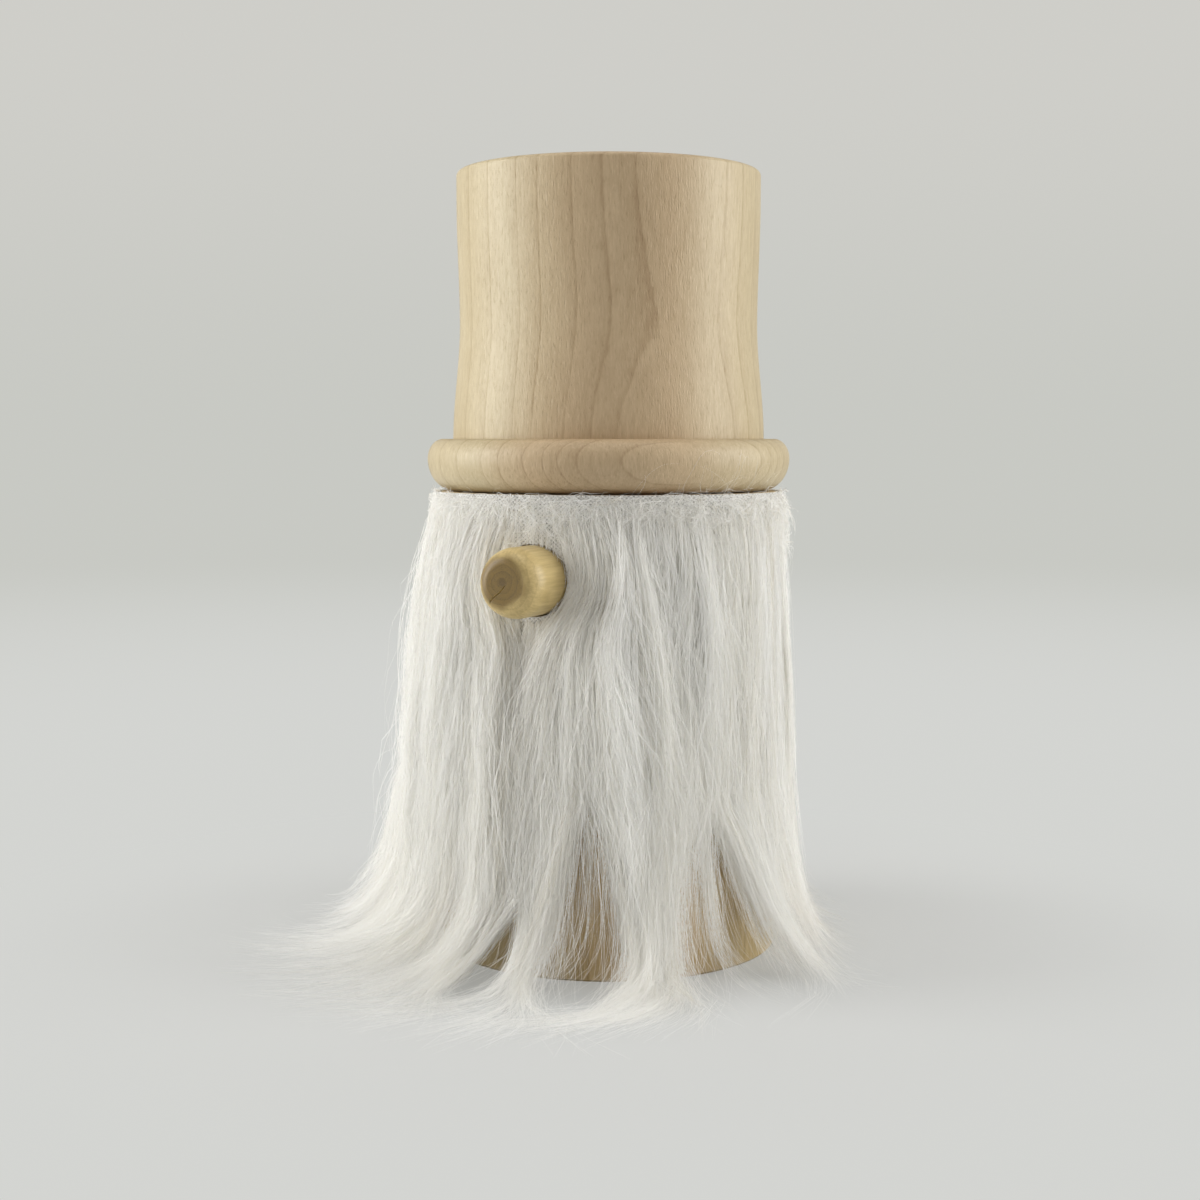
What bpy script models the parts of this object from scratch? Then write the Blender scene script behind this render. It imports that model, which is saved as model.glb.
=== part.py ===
"""Wooden gnome figure: a turned top hat doweled onto a turned post, a dowel nose and a wrapped strip of long-pile fur.

Metres, +Z up. The origin is the centre of the post's flat foot, and the nose points along -Y.
Angles round the post are in degrees from the nose, positive towards +X.
"""

import math

import bmesh
import bpy
from mathutils import Vector

# Clearances
GLUE_GAP = 0.0003
DOWEL_END_ROOM = 0.0015
NOSE_FUR_GAP = 0.0006

# Post
POST_RADIUS = 0.0473
POST_HEIGHT = 0.1282
POST_FOOT_CHAMFER = 0.0006

# Hat: a crown and a brim turned from one blank
HAT_HEIGHT = 0.0879
CROWN_TOP_RADIUS = 0.0423
CROWN_WAIST_RADIUS = 0.04155
CROWN_FOOT_RADIUS = 0.0436
CROWN_TOP_ROUND = 0.0013
CROWN_WAIST_RISE = 0.0318
CROWN_SHOULDER_DROP = 0.0085
BRIM_RADIUS = 0.0508
BRIM_THICKNESS = 0.0142
BRIM_TOP_ROUND_WIDTH = 0.0043
BRIM_TOP_ROUND_DROP = 0.0055
BRIM_UNDER_ROUND_WIDTH = 0.0070

# Fluted dowel between post and hat, half of it in each
DOWEL_RADIUS = 0.0050
DOWEL_LENGTH = 0.0500
DOWEL_CHAMFER = 0.0010
DOWEL_FLUTES = 12
DOWEL_FLUTE_DEPTH = 0.0004

# Nose: a short dowel with a rounded end, glued into a blind socket
NOSE_RADIUS = 0.0092
NOSE_REACH = 0.0173
NOSE_BELOW_POST_TOP = 0.0222
NOSE_SOCKET_DEPTH = 0.0140
NOSE_TIP_ROUND = 0.0062
NOSE_TIP_FLAT_RADIUS = 0.0052
NOSE_BACK_CHAMFER = 0.0008

# Fur strip's knitted backing, wrapped round the post with its butt seam at the back
BACKING_THICKNESS = 0.0012
BACKING_WIDTH = 0.0780
BACKING_BELOW_POST_TOP = 0.0005
BACKING_SEAM = 0.0010

# Fur strip's pile: locks that hang from the backing, part below it and splay on the floor
LOCK_BELOW_BACKING_TOP = 0.0008
LOCK_TOP_THICKNESS = 0.0020
LOCK_TIP_THICKNESS = 0.0018
LOCK_FILL_LENGTH = 0.0400
LOCK_EDGE_SHARE = 0.45
LOCK_SIDE_GAP = 0.0005
LOCK_FLOOR_GAP = 0.0003
LOCK_KNEE_OUT = 0.0050
LOCK_ANKLE_OUT = 0.0090
LOCK_NARROWING = 0.75
LOCK_TIP_TAPER = 0.30
LOCK_TAPER_START = 0.50

# Every lock ends where the next one starts. In each row: the angle where the lock starts, its tip's angle, half the
# tip's width in degrees, how far its tip lies out from the backing, how high its knee is above the floor, and its
# thickness. The first row hangs beside and below the nose, and the rows go round towards +X, where the fur lies flat.
LOCKS = (
    (-4, -7, 4.0, 0.057, 0.007, 0.0080),
    (15, 8, 2.2, 0.028, 0.010, 0.0055),
    (22, 17, 4.2, 0.044, 0.007, 0.0080),
    (36, 29, 4.6, 0.049, 0.007, 0.0080),
    (50, 55, 2.4, 0.024, 0.010, 0.0055),
    (59, 64, 4.4, 0.041, 0.015, 0.0060),
    (74, 75, 5.2, 0.036, 0.020, 0.0042),
    (92, 94, 6.0, 0.030, 0.018, 0.0026),
    (112, 113, 6.4, 0.026, 0.014, 0.0022),
    (131, 133, 6.4, 0.029, 0.016, 0.0028),
    (150, 152, 6.4, 0.035, 0.021, 0.0048),
    (169, 172, 6.4, 0.038, 0.025, 0.0070),
    (188, 190, 6.4, 0.036, 0.025, 0.0085),
    (207, 210, 6.4, 0.039, 0.025, 0.0095),
    (226, 229, 6.4, 0.037, 0.025, 0.0100),
    (246, 248, 6.4, 0.040, 0.025, 0.0105),
    (266, 268, 6.4, 0.044, 0.025, 0.0105),
    (285, 289, 6.2, 0.047, 0.024, 0.0105),
    (304, 309, 5.2, 0.052, 0.022, 0.0100),
    (323, 327, 4.6, 0.057, 0.019, 0.0095),
    (340, 340, 4.0, 0.054, 0.013, 0.0085),
)

# Fineness of the facets
TURNED_SEGMENTS = 56
NOSE_SEGMENTS = 32
BACKING_SEGMENTS = 72
STEPS_PER_FLUTE = 4
CROWN_STEPS = 6
ROUND_STEPS = 5
LOCK_HANG_STEPS = 5
LOCK_FALL_STEPS = 8
LOCK_FACE_STEPS = 5
LOCK_BACK_STEPS = 2

# Heights and radii that follow from the sizes above
HAT_BASE = POST_HEIGHT + GLUE_GAP
BRIM_TOP = HAT_BASE + BRIM_THICKNESS
HAT_TOP = HAT_BASE + HAT_HEIGHT
CROWN_WAIST = BRIM_TOP + CROWN_WAIST_RISE
CROWN_SHOULDER = HAT_TOP - CROWN_SHOULDER_DROP
DOWEL_BASE = POST_HEIGHT - DOWEL_LENGTH / 2
POST_BORE_FLOOR = DOWEL_BASE - GLUE_GAP
HAT_BORE_TOP = DOWEL_BASE + DOWEL_LENGTH + DOWEL_END_ROOM
DOWEL_BORE_RADIUS = DOWEL_RADIUS + GLUE_GAP
NOSE_HEIGHT = POST_HEIGHT - NOSE_BELOW_POST_TOP
NOSE_BACK = POST_RADIUS - NOSE_SOCKET_DEPTH
NOSE_TIP = POST_RADIUS + NOSE_REACH
NOSE_HOLE_RADIUS = NOSE_RADIUS + NOSE_FUR_GAP
BACKING_INNER = POST_RADIUS + GLUE_GAP
BACKING_OUTER = BACKING_INNER + BACKING_THICKNESS
BACKING_TOP = POST_HEIGHT - BACKING_BELOW_POST_TOP
BACKING_BOTTOM = BACKING_TOP - BACKING_WIDTH
LOCK_INNER = BACKING_OUTER + GLUE_GAP
LOCK_TOP = BACKING_TOP - LOCK_BELOW_BACKING_TOP


def clear_scene():
    for obj in list(bpy.data.objects):
        bpy.data.objects.remove(obj, do_unlink=True)


def material(name, colour, roughness):
    """A Principled material. No piece of the figure is metal."""
    made = bpy.data.materials.new(name)
    made.use_nodes = True
    shader = made.node_tree.nodes["Principled BSDF"]
    shader.inputs["Base Color"].default_value = (*colour, 1.0)
    shader.inputs["Roughness"].default_value = roughness
    shader.inputs["Metallic"].default_value = 0.0
    return made


def mix(a, b, share):
    return a + (b - a) * share


def smooth(share):
    share = min(1.0, max(0.0, share))
    return share * share * (3 - 2 * share)


def around(radius, degrees, height):
    """The point at a distance from the post's axis, at an angle from the nose."""
    angle = math.radians(degrees)
    return Vector((radius * math.sin(angle), -radius * math.cos(angle), height))


def quarter_round(radius, height, width, drop, steps):
    """Points of a quarter ellipse, from just after its upper end down to its widest point at radius."""
    found = []
    for step in range(1, steps + 1):
        angle = math.radians(90) * step / steps
        found.append((radius - width + width * math.sin(angle), height - drop + drop * math.cos(angle)))
    return found


def skin(builder, rings):
    """Closes a row of matching rings into a tube with a flat cap at each end."""
    for low, high in zip(rings, rings[1:]):
        for step in range(len(low)):
            after = (step + 1) % len(low)
            builder.faces.new((low[step], low[after], high[after], high[step]))
    builder.faces.new(list(reversed(rings[0])))
    builder.faces.new(rings[-1])


def add_object(name, builder, look=None, smooth_angle=None):
    """Turns the builder's geometry into an object, its faces pointing out."""
    bmesh.ops.recalc_face_normals(builder, faces=builder.faces)
    mesh = bpy.data.meshes.new(name)
    builder.to_mesh(mesh)
    builder.free()
    obj = bpy.data.objects.new(name, mesh)
    bpy.context.scene.collection.objects.link(obj)
    if look is not None:
        mesh.materials.append(look)
    if smooth_angle is not None:
        mesh.shade_smooth()
        mesh.set_sharp_from_angle(angle=math.radians(smooth_angle))
    return obj


def turned(name, profile, segments, look):
    """A closed solid, spun about Z from a profile of (radius, height) points that starts and ends on the axis."""
    builder = bmesh.new()
    points = [builder.verts.new((radius, 0.0, height)) for radius, height in profile]
    edges = [builder.edges.new(pair) for pair in zip(points, points[1:])]
    bmesh.ops.spin(
        builder,
        geom=points + edges,
        cent=(0, 0, 0),
        axis=(0, 0, 1),
        angle=math.tau,
        steps=segments,
        use_merge=True,
    )
    bmesh.ops.remove_doubles(builder, verts=builder.verts, dist=1e-6)
    return add_object(name, builder, look, smooth_angle=30)


def lay_along_nose(obj, distance):
    """Turns an object's own +Z to -Y and puts its origin on the nose's axis, at a distance from the post's axis."""
    obj.rotation_euler = (math.radians(90), 0, 0)
    obj.location = (0, -distance, NOSE_HEIGHT)


def nose_cutter(name, radius, start):
    """A cylinder on the nose's axis, from start out to the nose's tip."""
    builder = bmesh.new()
    bmesh.ops.create_cone(
        builder,
        cap_ends=True,
        segments=NOSE_SEGMENTS,
        radius1=radius,
        radius2=radius,
        depth=NOSE_TIP - start,
    )
    cutter = add_object(name, builder)
    cutter.hide_render = True
    cutter.display_type = "WIRE"
    lay_along_nose(cutter, (start + NOSE_TIP) / 2)
    return cutter


def cut(obj, cutter):
    modifier = obj.modifiers.new(cutter.name, "BOOLEAN")
    modifier.operation = "DIFFERENCE"
    modifier.solver = "EXACT"
    modifier.object = cutter


def make_post(look):
    """The post, with a blind bore for the dowel in its top and a blind socket for the nose in its front."""
    profile = [
        (0.0, 0.0),
        (POST_RADIUS - POST_FOOT_CHAMFER, 0.0),
        (POST_RADIUS, POST_FOOT_CHAMFER),
        (POST_RADIUS, POST_HEIGHT),
        (DOWEL_BORE_RADIUS, POST_HEIGHT),
        (DOWEL_BORE_RADIUS, POST_BORE_FLOOR),
        (0.0, POST_BORE_FLOOR),
    ]
    post = turned("body_post", profile, TURNED_SEGMENTS, look)
    cut(post, nose_cutter("nose_socket", NOSE_RADIUS + GLUE_GAP, NOSE_BACK - GLUE_GAP))


def crown_side():
    """The crown's side from shoulder to brim: fuller at both ends than at the waist between them."""
    side = []
    for step in range(CROWN_STEPS + 1):
        share = step / CROWN_STEPS
        radius = mix(CROWN_TOP_RADIUS, CROWN_WAIST_RADIUS, smooth(share))
        side.append((radius, mix(CROWN_SHOULDER, CROWN_WAIST, share)))
    for step in range(1, CROWN_STEPS + 1):
        share = step / CROWN_STEPS
        radius = mix(CROWN_WAIST_RADIUS, CROWN_FOOT_RADIUS, smooth(share))
        side.append((radius, mix(CROWN_WAIST, BRIM_TOP, share)))
    return side


def make_hat(look):
    """The hat, with a blind bore for the dowel in its underside."""
    under_round = quarter_round(
        BRIM_RADIUS,
        0.0,
        BRIM_UNDER_ROUND_WIDTH,
        BRIM_THICKNESS - BRIM_TOP_ROUND_DROP,
        ROUND_STEPS,
    )
    profile = [
        (0.0, HAT_TOP),
        (CROWN_TOP_RADIUS - CROWN_TOP_ROUND, HAT_TOP),
        *quarter_round(CROWN_TOP_RADIUS, HAT_TOP, CROWN_TOP_ROUND, CROWN_TOP_ROUND, ROUND_STEPS),
        *crown_side(),
        (BRIM_RADIUS - BRIM_TOP_ROUND_WIDTH, BRIM_TOP),
        *quarter_round(BRIM_RADIUS, BRIM_TOP, BRIM_TOP_ROUND_WIDTH, BRIM_TOP_ROUND_DROP, ROUND_STEPS),
        *[(radius, HAT_BASE - depth) for radius, depth in reversed(under_round[:-1])],
        (BRIM_RADIUS - BRIM_UNDER_ROUND_WIDTH, HAT_BASE),
        (DOWEL_BORE_RADIUS, HAT_BASE),
        (DOWEL_BORE_RADIUS, HAT_BORE_TOP),
        (0.0, HAT_BORE_TOP),
    ]
    turned("hat", profile, TURNED_SEGMENTS, look)


def make_dowel(look):
    """The joining dowel, with straight glue flutes along its length and a chamfer at each end."""
    steps = DOWEL_FLUTES * STEPS_PER_FLUTE
    builder = bmesh.new()
    rings = []
    for along, inset in (
        (0.0, DOWEL_CHAMFER),
        (DOWEL_CHAMFER, 0.0),
        (DOWEL_LENGTH - DOWEL_CHAMFER, 0.0),
        (DOWEL_LENGTH, DOWEL_CHAMFER),
    ):
        ring = []
        for step in range(steps):
            flute = DOWEL_FLUTE_DEPTH if step % STEPS_PER_FLUTE == 0 else 0.0
            point = around(DOWEL_RADIUS - inset - flute, 360 * step / steps, DOWEL_BASE + along)
            ring.append(builder.verts.new(point))
        rings.append(ring)
    skin(builder, rings)
    add_object("hat_dowel", builder, look, smooth_angle=20)


def make_nose(look):
    """The nose, turned about its own axis from its chamfered back to its rounded tip."""
    length = NOSE_TIP - NOSE_BACK
    tip_width = NOSE_RADIUS - NOSE_TIP_FLAT_RADIUS
    profile = [
        (0.0, length),
        (NOSE_TIP_FLAT_RADIUS, length),
        *quarter_round(NOSE_RADIUS, length, tip_width, NOSE_TIP_ROUND, ROUND_STEPS),
        (NOSE_RADIUS, NOSE_SOCKET_DEPTH),
        (NOSE_RADIUS, NOSE_BACK_CHAMFER),
        (NOSE_RADIUS - NOSE_BACK_CHAMFER, 0.0),
        (0.0, 0.0),
    ]
    nose = turned("nose", profile, NOSE_SEGMENTS, look)
    lay_along_nose(nose, NOSE_BACK)


def make_backing(nose_hole, look):
    """The knitted backing: a thin wall round the post, open at its seam and pierced by the nose."""
    seam = math.degrees(BACKING_SEAM / 2 / BACKING_INNER)
    corners = (
        (BACKING_INNER, BACKING_BOTTOM),
        (BACKING_OUTER, BACKING_BOTTOM),
        (BACKING_OUTER, BACKING_TOP),
        (BACKING_INNER, BACKING_TOP),
    )
    builder = bmesh.new()
    rings = []
    for step in range(BACKING_SEGMENTS + 1):
        degrees = mix(seam - 180, 180 - seam, step / BACKING_SEGMENTS)
        rings.append([builder.verts.new(around(radius, degrees, height)) for radius, height in corners])
    skin(builder, rings)
    backing = add_object("fur_backing", builder, look, smooth_angle=30)
    cut(backing, nose_hole)


def lock_stations(tip_out, knee_height, full_thickness):
    """Stations down a lock's hidden face, as (radius, height, thickness, taper): straight down the backing, then a
    cubic from the backing's lower edge that lies level on the floor at the tip."""
    stations = []
    for step in range(LOCK_HANG_STEPS):
        height = mix(LOCK_TOP, BACKING_BOTTOM, step / LOCK_HANG_STEPS)
        fill = smooth((LOCK_TOP - height) / LOCK_FILL_LENGTH)
        stations.append((LOCK_INNER, height, mix(LOCK_TOP_THICKNESS, full_thickness, fill), 1.0))
    curve = (
        Vector((LOCK_INNER, BACKING_BOTTOM)),
        Vector((LOCK_INNER + LOCK_KNEE_OUT, knee_height)),
        Vector((LOCK_INNER + LOCK_ANKLE_OUT, LOCK_FLOOR_GAP)),
        Vector((LOCK_INNER + tip_out, LOCK_FLOOR_GAP)),
    )
    for step in range(LOCK_FALL_STEPS + 1):
        share = step / LOCK_FALL_STEPS
        rest = 1 - share
        weights = (rest**3, 3 * rest**2 * share, 3 * rest * share**2, share**3)
        point = sum((corner * weight for corner, weight in zip(curve, weights)), Vector((0, 0)))
        taper = mix(1.0, LOCK_TIP_TAPER, smooth((share - LOCK_TAPER_START) / (1 - LOCK_TAPER_START)))
        stations.append((point.x, point.y, mix(full_thickness, LOCK_TIP_THICKNESS, smooth(share)), taper))
    return stations


def outward(stations, index):
    """The unit direction, as (out, up), square to the hidden face at a station and pointing to the lock's front."""
    before = stations[max(index - 1, 0)]
    after = stations[min(index + 1, len(stations) - 1)]
    run = Vector((after[0] - before[0], after[1] - before[1])).normalized()
    return -run.y, run.x


def lock_ring(builder, station, direction, left, right):
    """One ring of a lock: its domed front from left to right, then its plain hidden face back again."""
    radius, height, thickness, _ = station
    out, up = direction
    gap = math.degrees(LOCK_SIDE_GAP / 2 / radius)
    ring = []
    for step in range(LOCK_FACE_STEPS + 1):
        share = step / LOCK_FACE_STEPS
        rise = thickness * mix(LOCK_EDGE_SHARE, 1.0, math.sin(math.pi * share))
        degrees = mix(left + gap, right - gap, share)
        ring.append(builder.verts.new(around(radius + out * rise, degrees, height + up * rise)))
    for step in range(LOCK_BACK_STEPS + 1):
        degrees = mix(right - gap, left + gap, step / LOCK_BACK_STEPS)
        ring.append(builder.verts.new(around(radius, degrees, height)))
    return ring


def make_lock(name, row, end, nose_hole, look):
    """A lock fills its stretch of the backing, narrows as it falls and swings to its tip as it moves out."""
    start, tip, tip_half_width, tip_out, knee_height, thickness = row
    stations = lock_stations(tip_out, knee_height, thickness)
    builder = bmesh.new()
    rings = []
    for index, station in enumerate(stations):
        radius, height, _, taper = station
        fallen = max(0.0, 1 - height / BACKING_BOTTOM)
        moved_out = (radius - LOCK_INNER) / tip_out
        middle = mix((start + end) / 2, tip, smooth(moved_out))
        half = taper * mix((end - start) / 2, tip_half_width, fallen**LOCK_NARROWING)
        rings.append(lock_ring(builder, station, outward(stations, index), middle - half, middle + half))
    skin(builder, rings)
    lock = add_object(name, builder, look, smooth_angle=50)
    nose_half_angle = math.degrees(math.asin(NOSE_HOLE_RADIUS / LOCK_INNER))
    if start < nose_half_angle or end > 360 - nose_half_angle:
        cut(lock, nose_hole)


def main():
    clear_scene()
    maple = material("maple", (0.62, 0.50, 0.31), 0.5)
    nose_wood = material("nose_wood", (0.40, 0.31, 0.13), 0.45)
    dowel_beech = material("dowel_beech", (0.58, 0.42, 0.25), 0.6)
    knit = material("knit_backing", (0.78, 0.76, 0.72), 0.9)
    pile = material("fur_pile", (0.86, 0.85, 0.81), 0.7)
    make_post(maple)
    make_hat(maple)
    make_dowel(dowel_beech)
    make_nose(nose_wood)
    nose_hole = nose_cutter("nose_hole", NOSE_HOLE_RADIUS, NOSE_BACK)
    make_backing(nose_hole, knit)
    ends = [row[0] for row in LOCKS[1:]] + [LOCKS[0][0] + 360]
    for number, (row, end) in enumerate(zip(LOCKS, ends), start=1):
        make_lock(f"fur_lock_{number:02d}", row, end, nose_hole, pile)


main()
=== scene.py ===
import math

import bmesh
import bpy
import numpy as np
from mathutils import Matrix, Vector


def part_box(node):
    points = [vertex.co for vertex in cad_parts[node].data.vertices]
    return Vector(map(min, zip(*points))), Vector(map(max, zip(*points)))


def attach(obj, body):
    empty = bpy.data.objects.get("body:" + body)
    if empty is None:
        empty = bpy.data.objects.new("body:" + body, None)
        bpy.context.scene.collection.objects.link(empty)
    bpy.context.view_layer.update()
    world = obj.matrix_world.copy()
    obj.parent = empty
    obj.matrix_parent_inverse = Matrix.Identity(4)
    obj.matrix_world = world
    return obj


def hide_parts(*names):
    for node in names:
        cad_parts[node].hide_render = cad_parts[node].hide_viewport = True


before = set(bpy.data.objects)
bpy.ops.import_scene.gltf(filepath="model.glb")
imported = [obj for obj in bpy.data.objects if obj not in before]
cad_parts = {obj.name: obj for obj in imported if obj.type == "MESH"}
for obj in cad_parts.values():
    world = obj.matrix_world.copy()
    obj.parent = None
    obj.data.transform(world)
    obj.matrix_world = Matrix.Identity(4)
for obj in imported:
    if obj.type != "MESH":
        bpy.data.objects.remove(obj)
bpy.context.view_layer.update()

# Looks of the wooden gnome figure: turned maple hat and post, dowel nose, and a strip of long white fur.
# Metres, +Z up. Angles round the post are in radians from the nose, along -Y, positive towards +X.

MM = 0.001
SEED = 57
UV_MAP = "OFBake"

# Sizes read from the frame
HAT_LOW, HAT_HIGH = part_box("hat")
_, POST_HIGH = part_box("body_post")
NOSE_LOW, NOSE_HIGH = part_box("nose")
BACKING_LOW, BACKING_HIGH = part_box("fur_backing")
HAT_BASE = HAT_LOW.z
HAT_TOP = HAT_HIGH.z
BRIM_RADIUS = HAT_HIGH.x
POST_RADIUS = POST_HIGH.x
POST_HEIGHT = POST_HIGH.z
NOSE_RADIUS = NOSE_HIGH.x
NOSE_HEIGHT = (NOSE_LOW.z + NOSE_HIGH.z) / 2
NOSE_TIP = -NOSE_LOW.y
NOSE_BACK = -NOSE_HIGH.y
BACKING_OUTER = BACKING_HIGH.x
BACKING_BOTTOM = BACKING_LOW.z
BACKING_TOP = BACKING_HIGH.z
BACKING_HEIGHT = BACKING_TOP - BACKING_BOTTOM

# Turned shapes, as in the CAD
GLUE_GAP = 0.3 * MM
CROWN_TOP_RADIUS = 42.3 * MM
CROWN_WAIST_RADIUS = 41.55 * MM
CROWN_FOOT_RADIUS = 43.6 * MM
CROWN_TOP_ROUND = 1.3 * MM
CROWN_WAIST_RISE = 31.8 * MM
CROWN_SHOULDER_DROP = 8.5 * MM
CROWN_POINTS = 16
BRIM_THICKNESS = 14.2 * MM
BRIM_TOP_ROUND = (4.3 * MM, 5.5 * MM)
BRIM_UNDER_ROUND = (7.0 * MM, 8.7 * MM)
BRIM_CORNER = 0.15 * MM
DOWEL_BORE_RADIUS = 5.3 * MM
POST_BORE_DEPTH = 25.3 * MM
HAT_BORE_DEPTH = 26.2 * MM
FOOT_CHAMFER = 0.6 * MM
TURNED_SEGMENTS = 180
TURNED_SHARP = math.radians(38)

# Nose. Its crack runs out from the pith, and opens and closes over these stretches of (start, width)
NOSE_TIP_FLAT = 5.2 * MM
NOSE_TIP_ROUND = 6.2 * MM
NOSE_BACK_CHAMFER = 0.8 * MM
NOSE_SEGMENTS = 240
NOSE_SHARP = math.radians(40)
CRACK_BEARING = math.radians(228)
CRACK_SWAY = 0.07
CRACK_DEPTH = 0.7 * MM
CRACK_WIDTH = 0.24 * MM
CRACK_OPENS = (0.2 * MM, 0.8 * MM)
CRACK_CLOSES = (5.4 * MM, 2.4 * MM)

# Knitted backing. Its stitches are modelled near its top edge only, because fur hides the rest.
KNIT_WALES = 250
KNIT_COURSES = 72
KNIT_COLUMNS = 720
KNIT_ROWS = 60
KNIT_THICKNESS = 1.1 * MM
KNIT_LIFT = 0.12 * MM
KNIT_SHOWN = 20 * MM
KNIT_EDGE_RISE = 0.5 * MM
KNIT_HALF_SEAM = 0.5 * MM
KNIT_HOLE = NOSE_RADIUS + 0.4 * MM
KNIT_SHARP = math.radians(50)

# Camera
CAMERA_AZIMUTH = math.radians(24)
CAMERA_DISTANCE = 0.5373
CAMERA_SIDE_SHIFT = -2.39 * MM
CAMERA_HEIGHT = 0.1429
CAMERA_PITCH = 0.085
CAMERA_LENS_MM = 56.97
CAMERA_SENSOR_MM = 36.0
CAMERA_NEAR = 0.01

# Stage and light. For each softbox: bearing from the camera in degrees, distance, height, width, tallness,
# power and colour
FLOOR_RADIUS = 9.0
FLOOR_DROP = 0.05 * MM
FLOOR_COLOUR = (0.607, 0.612, 0.605)
# Painted light near the figure: FLOOR_GLOW is what the camera sees there, mixed over the floor's shadow
FLOOR_GLOW = (0.655, 0.662, 0.640)
BACKDROP_LOW = (0.578, 0.585, 0.550)
BACKDROP_HIGH = (0.622, 0.618, 0.585)
AMBIENT = 0.39
AMBIENT_COLOUR = (1.0, 0.99, 0.97)
LIGHT_AIM = 0.11
SOFTBOXES = {
    "left_softbox": (-88, 0.95, 0.34, 0.6, 0.9, 9.7, (1.0, 0.995, 0.98)),
    "right_softbox": (86, 0.95, 0.34, 0.6, 0.9, 8.0, (1.0, 0.99, 0.97)),
    "top_softbox": (0, 0.10, 1.25, 0.9, 0.9, 3.6, (1.0, 0.99, 0.98)),
}

# Growth rings of the maple: how far each dark line lies from the blank's middle towards the bark, in mm
RING_SPAN = 80 * MM
RING_EDGES = [
    -75, -64, -55, -47, -36, -29, -19, -8, 5.2, 14.9,
    24.1, 28.9, 35, 38.7, 41.3, 43.9, 48.5, 55, 62, 72,
]
RING_JITTER = 0.5 * MM
WIDEST_RING = 20.0
FINE_RINGS = 5.0
PITH_DISTANCE = 700 * MM
PITH_BEARING = CAMERA_AZIMUTH + math.radians(22)
PITH = (-PITH_DISTANCE * math.sin(PITH_BEARING), PITH_DISTANCE * math.cos(PITH_BEARING))
HAT_RINGS = (0.0, 1.8 * MM)
POST_RINGS = (13.0 * MM, 4.0 * MM)
# Painted light: the post's maple is brightened and warmed to make up for the shade that the fur casts on it
POST_PAINTED_LIGHT = (1.13, 1.08, 0.94)

# Noise in the maple: its stretch along the grain, scale, detail and roughness
MAPLE_NOISE = {
    "slow": (0.40, 24.0, 2.0, 0.5),
    "jitter": (0.35, 420.0, 2.0, 0.6),
    "uneven": (0.6, 45.0, 2.0, 0.5),
    "streak": (0.09, 1250.0, 4.0, 0.65),
    "broad": (0.12, 110.0, 3.0, 0.6),
    # The satin noise is fine bump, and in the colour it is a painted sheen mottle
    "painted_sheen_and_bump": (0.35, 620.0, 3.0, 0.6),
    "fleck": (0.20, 2500.0, 2.0, 0.5),
    "patch": (0.5, 55.0, 3.0, 0.55),
}

# Colour ramps, as (place, level or colour) stops
RING_LINE = [(0.0, 0.9), (0.025, 1.0), (0.07, 0.42), (0.28, 0.14), (0.8, 0.0)]
LINE_AFTER = [(0.0, 0.5), (0.16, 0.0)]
FINE_LINE = [(0.0, 0.0), (0.6, 0.25), (0.93, 1.0), (1.0, 0.0)]
FAINT_SIDE = [(0.495, 1.0), (0.53, 0.12), (0.585, 0.12), (0.61, 1.0)]
FAINT_PATCHES = [(0.30, 0.55), (0.62, 1.0)]
DARK_FLECKS = [(0.57, 0.0), (0.70, 1.0)]
PALE_FLECKS = [(0.30, 1.0), (0.43, 0.0)]
MAPLE_END_GRAIN = [(0.80, 0.0), (0.97, 1.0)]
MAPLE_PORES = [(0.58, 0.0), (0.66, 1.0)]
MAPLE_YELLOW = [(0.0, (0.625, 0.53, 0.345)), (1.0, (0.34, 0.24, 0.105))]
MAPLE_PINK = [(0.0, (0.61, 0.465, 0.29)), (1.0, (0.33, 0.215, 0.11))]
PINK_AGE = [(0.50, 0.0), (0.85, 1.0)]
PINK_SIDE = [(0.50, 1.0), (0.58, 0.35), (0.70, 0.0)]
NOSE_RING = [(0.0, 0.0), (0.7, 0.45), (0.93, 1.0), (1.0, 0.0)]
NOSE_PORES = [(0.55, 0.0), (0.68, 1.0)]
NOSE_END = [(0.50, 1.0), (0.80, 0.0)]
NOSE_FACING = [(0.3, 0.0), (0.6, 1.0)]
NOSE_SIDE_COLOURS = [(0.0, (0.70, 0.54, 0.245)), (1.0, (0.37, 0.265, 0.095))]
NOSE_END_COLOURS = [(0.0, (0.275, 0.178, 0.048)), (1.0, (0.085, 0.056, 0.017))]
NOSE_PITH = [(0.0, 1.0), (0.75, 1.0), (1.0, 0.0)]
NOSE_PITH_COLOUR = (0.06, 0.038, 0.016, 1)
BEECH_COLOURS = [(0.3, (0.62, 0.43, 0.26)), (0.7, (0.42, 0.27, 0.15))]
# The knit's colour by loop height: the dark first stop is painted shade in the holes and dips between the loops
KNIT_COLOURS_WITH_PAINTED_SHADE = [(0.12, (0.16, 0.15, 0.13)), (0.42, (0.64, 0.63, 0.60)), (1.0, (0.82, 0.81, 0.78))]
FUR_SHADES = [
    (0.0, (0.82, 0.785, 0.705)),
    (0.25, (0.940, 0.931, 0.895)),
    (0.7, (0.979, 0.977, 0.961)),
    (1.0, (0.990, 0.991, 0.987)),
]
FUR_ROOTS = [(0.0, (0.95, 0.94, 0.92)), (0.12, (1.0, 1.0, 1.0))]
FUR_TRANSLUCENCE = 0.35

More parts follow.
